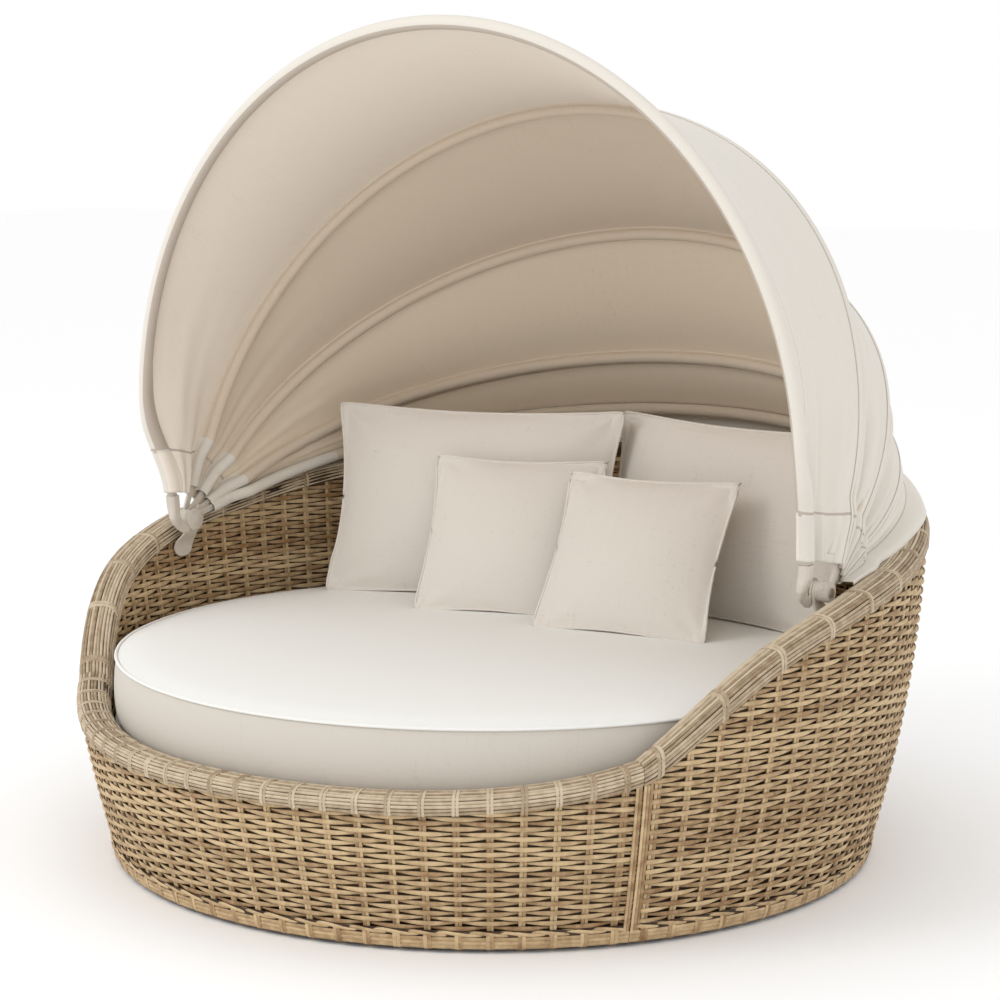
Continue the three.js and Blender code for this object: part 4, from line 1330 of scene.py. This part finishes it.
def panel_points(panel, u, share):
    """The inner face of a panel between two bows, drawn in like taut cloth, with folds that fan out from
    the pivots, and near them a deep pleat behind the front bow and a doubled cuff."""
    first, last = PANELS[panel]
    _, out_a, crest_a = BOWS[first].at(u)
    _, out_b, crest_b = BOWS[last].at(u)
    s = share[..., None]
    chord = np.linalg.norm(crest_b - crest_a, axis=-1)
    out = mix(out_a, out_b, s)
    out = out / np.linalg.norm(out, axis=-1, keepdims=True)
    end = np.minimum(u, 1 - u)
    right = u < 0.5
    side = np.where(right, 0.0, SIDE_SHIFT)
    key = list(PANELS).index(panel) * PANEL_SHIFT
    on_right = RIGHT_GATHER * (1 - smooth(end / RIGHT_FADE))
    on_left = LEFT_GATHER * (1 - smooth(end / LEFT_FADE))
    waves = sum(
        height * np.sin(2 * math.pi * (across * share + along * end) + by_side * side + by_panel * key)
        for height, across, along, by_side, by_panel in WAVES
    )
    depth = FOLD_DEPTH * np.where(right, on_right, on_left) * smooth(chord / FOLDED_CHORD)
    dip = SAG_SHARE * chord * 4 * share * (1 - share)
    puckers = PUCKER_DEPTH * (1 - smooth((end - 0.02) / 0.05)) * np.sin(2 * math.pi * PUCKERS * share + side)
    inward = dip + (depth * waves + puckers) * np.sin(math.pi * share) ** 0.8
    if panel == "cover_front":
        pleat = np.sin(math.pi * share**0.6) * smooth((1 - share) / 0.5)
        inward += PLEAT_DEPTH * (1 - smooth((end - PLEAT_FROM) / PLEAT_FADE)) * pleat
    cuff = CUFF_STEP * (1 - smooth((end - CUFF_END) / 0.003))
    inward += cuff * smooth(share / 0.1) * smooth((1 - share) / 0.1)
    co = mix(crest_a, crest_b, s) - out * inward[..., None]
    clear = smooth((chord - 1.6 * RIDGE) / 0.012)[..., None]
    toward = (crest_b - crest_a) / chord[..., None]
    co = co + BOWS[first].kept_clear(u, co, toward) * clear
    co = co + BOWS[last].kept_clear(u, co, -toward) * clear
    return co, out


def polar(points):
    """Angle about the pivot axis, from level at the back."""
    return np.arctan2(points[..., 2] - PIVOT.z, points[..., 1] - PIVOT.y)


def cloth_grid(name, place, stations, across, look):
    """A sheet of cloth from a grid whose points are placed by a function of arrays (u, v)."""
    shape = bmesh.new()
    bmesh.ops.create_grid(shape, x_segments=stations, y_segments=across, size=0.5, calc_uvs=True)
    made = from_bmesh(name, shape, look)
    mesh = made.data
    flat = coordinates(mesh)
    co, layers = place(spaced(flat[:, 0] + 0.5), flat[:, 1] + 0.5)
    set_coordinates(mesh, co)
    for key, values in layers.items():
        mesh.attributes.new(key, "FLOAT", "POINT").data.foreach_set("value", values.astype(np.float32))
    return made


def thickened(obj, thickness, offset=1.0):
    solid = obj.modifiers.new("cloth", "SOLIDIFY")
    solid.thickness = thickness
    solid.offset = offset
    return baked(obj)


POCKET_SHARE = 0.26
SKIRT_SHARE = 0.3
BAND_BEHIND = 0.024
# Share of the front fold past which its inner side takes the darker taupe of painted shade.
SHADED_FOLD_FROM = 0.38
FLANGE_FROM = 0.80
ROUND_TO = 1.15 * math.pi
SEWN_UNDER = 0.0006
SKIRT_OUT = 0.025
SKIRT_OFF_WALL = 0.004
SKIRT_OVER_RIM = 0.001
SKIRT_SLOPE = 0.6
SKIRT_BELLY = 0.010
RUFFLES = 22
RUFFLE_DEPTH = 0.0015


def front_pocket(u, share):
    """The front edge, folded round the front bow from its crest and sewn to the lining behind it."""
    middle, out, _ = BOWS["front"].at(u)
    turn = ROUND_TO * np.minimum(share / FLANGE_FROM, 1)
    away = out * np.cos(turn)[:, None] + BOWS["front"].forward * np.sin(turn)[:, None]
    sewn, panel_out = panel_points("cover_front", u, BAND_BEHIND / chord_at("cover_front", u))
    back = np.clip((share - FLANGE_FROM) / (1 - FLANGE_FROM), 0, 1)[:, None]
    return mix(middle + away * BOWS["front"].sleeve(u), sewn - panel_out * SEWN_UNDER, back)


def skirt_points(u, share):
    """Below the hem bow a skirt falls outside the tub and ends just over the rim's outer edge."""
    middle, out, crest = BOWS["hem"].at(u)
    turn = np.arctan2(middle[:, 0], -middle[:, 1])
    spread = smooth((np.abs(turn) - math.pi / 2) / math.radians(45))
    under = rim_top(turn, True)
    bow_radius = np.hypot(middle[:, 0], middle[:, 1])
    radius = mix(bow_radius + RIDGE + SKIRT_OUT, wall_radius(under) + SKIRT_OFF_WALL, spread)
    radius = radius + RUFFLE_DEPTH * np.sin(turn * RUFFLES) * share
    hem = np.stack([radius * np.sin(turn), -radius * np.cos(turn), under + SKIRT_OVER_RIM], 1)
    hem_out = np.stack([np.sin(turn), -np.cos(turn), np.full_like(turn, SKIRT_SLOPE)], 1)
    hem_out = hem_out / math.hypot(1, SKIRT_SLOPE)
    s = share[:, None]
    away = mix(out, hem_out, s)
    away = away / np.linalg.norm(away, axis=1, keepdims=True)
    return mix(crest, hem, s) + away * (SKIRT_BELLY * np.sin(math.pi * share))[:, None]


# Which part of a panel's cloth a point lies in, where that isn't plain cover and lining
FOLD_SHADE_AND_SEAM_ZONE, SKIRT_ZONE, LINING_ZONE = 1.0, 2.0, 4.0


def place_panel(panel):
    """A function that places the points of a whole panel, with its pocket or skirt."""
    first, last = PANELS[panel]

    def place(u, v):
        start = POCKET_SHARE if panel == "cover_front" else 0.0
        end = 1 - SKIRT_SHARE if panel == "cover_rear" else 1.0
        share = np.clip((v - start) / (end - start), 0, 1)
        co, _ = panel_points(panel, u, share)
        a = polar(BOWS[first].at(u)[2])
        b = polar(BOWS[last].at(u)[2])
        fold = np.clip((a - polar(co)) / (a - b), 0, 1)
        fold = np.where(share <= 0, 0, np.where(share >= 1, 1, fold))
        zone = np.zeros_like(v)
        if start:
            round_share = np.clip(1 - v / start, 0, 1)
            co = np.where((v < start)[:, None], front_pocket(u, round_share), co)
            # Past this share the fold faces into the canopy and takes the darker taupe: painted shade.
            zone = np.where(round_share > SHADED_FOLD_FROM, FOLD_SHADE_AND_SEAM_ZONE, zone)
            cuff = np.minimum(u, 1 - u) < CUFF_END
            zone = np.where(cuff, np.where(round_share > SHADED_FOLD_FROM, LINING_ZONE, 0.0), zone)
        zone = np.where(np.abs(np.minimum(u, 1 - u) - CUFF_END) < CUFF_SEAM, FOLD_SHADE_AND_SEAM_ZONE, zone)
        if end < 1:
            fallen = skirt_points(u, np.clip((v - end) / (1 - end), 0, 1))
            co = np.where((v > end)[:, None], fallen, co)
            zone = np.where(v > end, SKIRT_ZONE, zone)
        return co, {"fold": fold, "zone": zone}

    return place


UNDER_CANOPY = Vector((0, 0.10, 0.80))


def outer_and_lining(obj, count):
    """Gives the outer face the cover's cloth, the inner one the lining's, and the front pocket's inner side
    and the cuffs' seam lines a darker taupe, which on the fold is painted shade.
    The first count faces are one side of the cloth, the next count the other."""
    mesh = obj.data
    zone = np.zeros(len(mesh.vertices), np.float32)
    mesh.attributes["zone"].data.foreach_get("value", zone)
    outer_first = sum(f.normal.dot(f.center - UNDER_CANOPY) for f in mesh.polygons[:count]) > 0
    for i, face in enumerate(mesh.polygons):
        here = sum(zone[v] for v in face.vertices) / len(face.vertices)
        if here > 3.1:
            face.material_index = 1
        elif here > 1.5 or i >= 2 * count:
            face.material_index = 0
        elif here > 0.9:
            face.material_index = 2
        else:
            face.material_index = 0 if (i < count) == outer_first else 1
    mesh.attributes.remove(mesh.attributes["zone"])


# Rows that the front pocket and the skirt add to their panels' grids, and how much wider they make them
EXTRAS = {"cover_front": (10, 0.05), "cover_rear": (12, 0.12)}
SEAM_ROWS = 6
SEAM_REACH_SHARE = 0.06
SEAM_SUNK = 0.0007
SEAM_RISE = 0.0018
SEAM_CLOTH = 0.0006
SLEEVE_RADIUS = 0.0128
SLEEVE_ENDS = (0.006, 0.994)
SLEEVE_TURN = math.radians(112)
SLEEVE_ROWS = 30
SLEEVE_CLOTH = 0.0008
# A sleeve's grid from its middle line: the half that goes round the tube, the flange, and its first part,
# in which the cloth leaves the tube for the lining
SLEEVE_ROUND = 0.34
FLANGE = 0.16
FLANGE_START = 0.3
FLANGE_REACH = (0.0155, 0.0235)
# How far from the pivot axis a sleeve is made of the pale cover cloth; farther on it takes the second panel's
# lining tone, painted shade deeper under the canopy
PALE_TO = 0.19
PALE_TO_HEM = 0.45


def panel_at(bow, end):
    """The panel that starts (0) or ends (1) at a bow, if there is one."""
    return next((panel for panel, ends in PANELS.items() if ends[end] == bow), None)


class DAYBED_OT_canopy(bpy.types.Operator):
    """Makes the four panels of the canopy, drawn between the bows as they stand."""

    bl_idname = "daybed.canopy"
    bl_label = "Canopy"

    def execute(self, context):
        for panel, (first, last) in PANELS.items():
            more_rows, more_width = EXTRAS.get(panel, (0, 0.0))
            piece = cloth_grid(panel + "_cloth", place_panel(panel), STATIONS, ACROSS + more_rows, "cover")
            piece.data.materials.append(LOOKS["lining_" + panel])
            piece.data.materials.append(LOOKS["edging"])
            count = len(piece.data.polygons)
            if piece.data.polygons[count // 2].normal.dot(Vector((0, 0.4, 1))) < 0:
                piece.data.flip_normals()
            thickened(piece, CLOTH)
            outer_and_lining(piece, count)
            crest_a = BOWS[first].at(np.array([0.5]))[2][0]
            crest_b = BOWS[last].at(np.array([0.5]))[2][0]
            fold = np.zeros(len(piece.data.vertices), np.float32)
            piece.data.attributes["fold"].data.foreach_get("value", fold)
            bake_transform(piece)
            piece.data.attributes.remove(piece.data.attributes["fold"])
            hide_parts(panel)
            if last != "hem":
                self.seam(panel, last)
            self.pocket(last)
        return {"FINISHED"}

    def seam(self, panel, bow):
        """The flat-felled seam over a bow, on the outside."""
        following = panel_at(bow, 0)

        def place(u, v):
            side = v - 0.5
            near, out = panel_points(panel, u, 1 - np.maximum(-side, 0) * SEAM_REACH_SHARE)
            far, _ = panel_points(following, u, np.maximum(side, 0) * SEAM_REACH_SHARE)
            co = np.where((side < 0)[:, None], near, far)
            return co + out * (CLOTH - SEAM_SUNK + SEAM_RISE * np.sin(math.pi * v))[:, None], {}

        made = cloth_grid(f"seam_{bow}", place, STATIONS, SEAM_ROWS, "cover")
        thickened(made, SEAM_CLOTH)
        in_frame(made, BODY_OF_BOW[bow])
        return made

    def pocket(self, bow):
        """The sleeve that holds a bow under the canopy: it goes round the tube and is sewn flat to the
        lining on both sides of it. The hem bow's has no flanges."""
        line = BOWS[bow]
        before, after = panel_at(bow, 1), panel_at(bow, 0)

        def sewn(panel, u, reach, at_end):
            share = np.minimum(reach / chord_at(panel, u), 0.4)
            co, out = panel_points(panel, u, 1 - share if at_end else share)
            return co - out * SEWN_UNDER

        def place(u, v):
            u = mix(*SLEEVE_ENDS, u)
            middle, out, _ = line.at(u)
            round_half = 0.5 if after is None else SLEEVE_ROUND
            turn = SLEEVE_TURN * np.clip((v - 0.5) / round_half, -1, 1)
            away = -out * np.cos(turn)[:, None] + line.forward * np.sin(turn)[:, None]
            co = middle + away * SLEEVE_RADIUS
            if after is None:
                return co, {}
            edge = np.clip((np.abs(v - 0.5) - SLEEVE_ROUND) / FLANGE, 0, 1)
            reach = mix(*FLANGE_REACH, np.clip((edge - FLANGE_START) / (1 - FLANGE_START), 0, 1))
            flat = np.where((v > 0.5)[:, None], sewn(before, u, reach, True), sewn(after, u, reach, False))
            return mix(co, flat, np.minimum(edge / FLANGE_START, 1)[:, None]), {}

        made = cloth_grid(f"pocket_{bow}", place, STATIONS, SLEEVE_ROWS, "lining_cover_second")
        thickened(made, SLEEVE_CLOTH, 0.0)
        made.data.materials.append(LOOKS["cover"])
        pale_to = PALE_TO_HEM if bow == "hem" else PALE_TO
        # Near the pivots the sleeve is pale cover cloth; beyond, the second panel's lining tone paints its
        # shade under the canopy.
        for face in made.data.polygons:
            face.material_index = int((face.center.yz - PIVOT.yz).length < pale_to)
        in_frame(made, BODY_OF_BOW[bow])
        return made


class DAYBED_PT_panel(bpy.types.Panel):
    """Lists the operators, sizes and colours of the daybed."""

    bl_label = "Daybed"
    bl_idname = "DAYBED_PT_panel"
    bl_space_type = "VIEW_3D"
    bl_region_type = "UI"
    bl_category = "Daybed"

    def draw(self, context):
        for operator in OPERATORS:
            self.layout.operator(operator.bl_idname)
        for group in (looks_of(context), sizes_of(context)):
            for name in group.__annotations__:
                self.layout.prop(group, name)


OPERATORS = (
    DAYBED_OT_stage,
    DAYBED_OT_finishes,
    DAYBED_OT_fittings,
    DAYBED_OT_walls,
    DAYBED_OT_rims,
    DAYBED_OT_mattress,
    DAYBED_OT_pillows,
    DAYBED_OT_canopy,
)
CLASSES = (DaybedColours, DaybedSizes, *OPERATORS, DAYBED_PT_panel)


def register():
    for item in CLASSES:
        bpy.utils.register_class(item)
    bpy.types.Scene.daybed_colours = PointerProperty(type=DaybedColours)
    bpy.types.Scene.daybed_sizes = PointerProperty(type=DaybedSizes)


def unregister():
    del bpy.types.Scene.daybed_sizes
    del bpy.types.Scene.daybed_colours
    for item in reversed(CLASSES):
        bpy.utils.unregister_class(item)


def main():
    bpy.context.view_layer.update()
    register()
    make_looks(looks_of(bpy.context))
    bpy.ops.daybed.stage()
    bpy.ops.daybed.finishes()
    bpy.ops.daybed.fittings()
    bpy.ops.daybed.walls()
    bpy.ops.daybed.rims()
    bpy.ops.daybed.mattress()
    bpy.ops.daybed.pillows()
    bpy.ops.daybed.canopy()


if __name__ == "__main__":
    main()
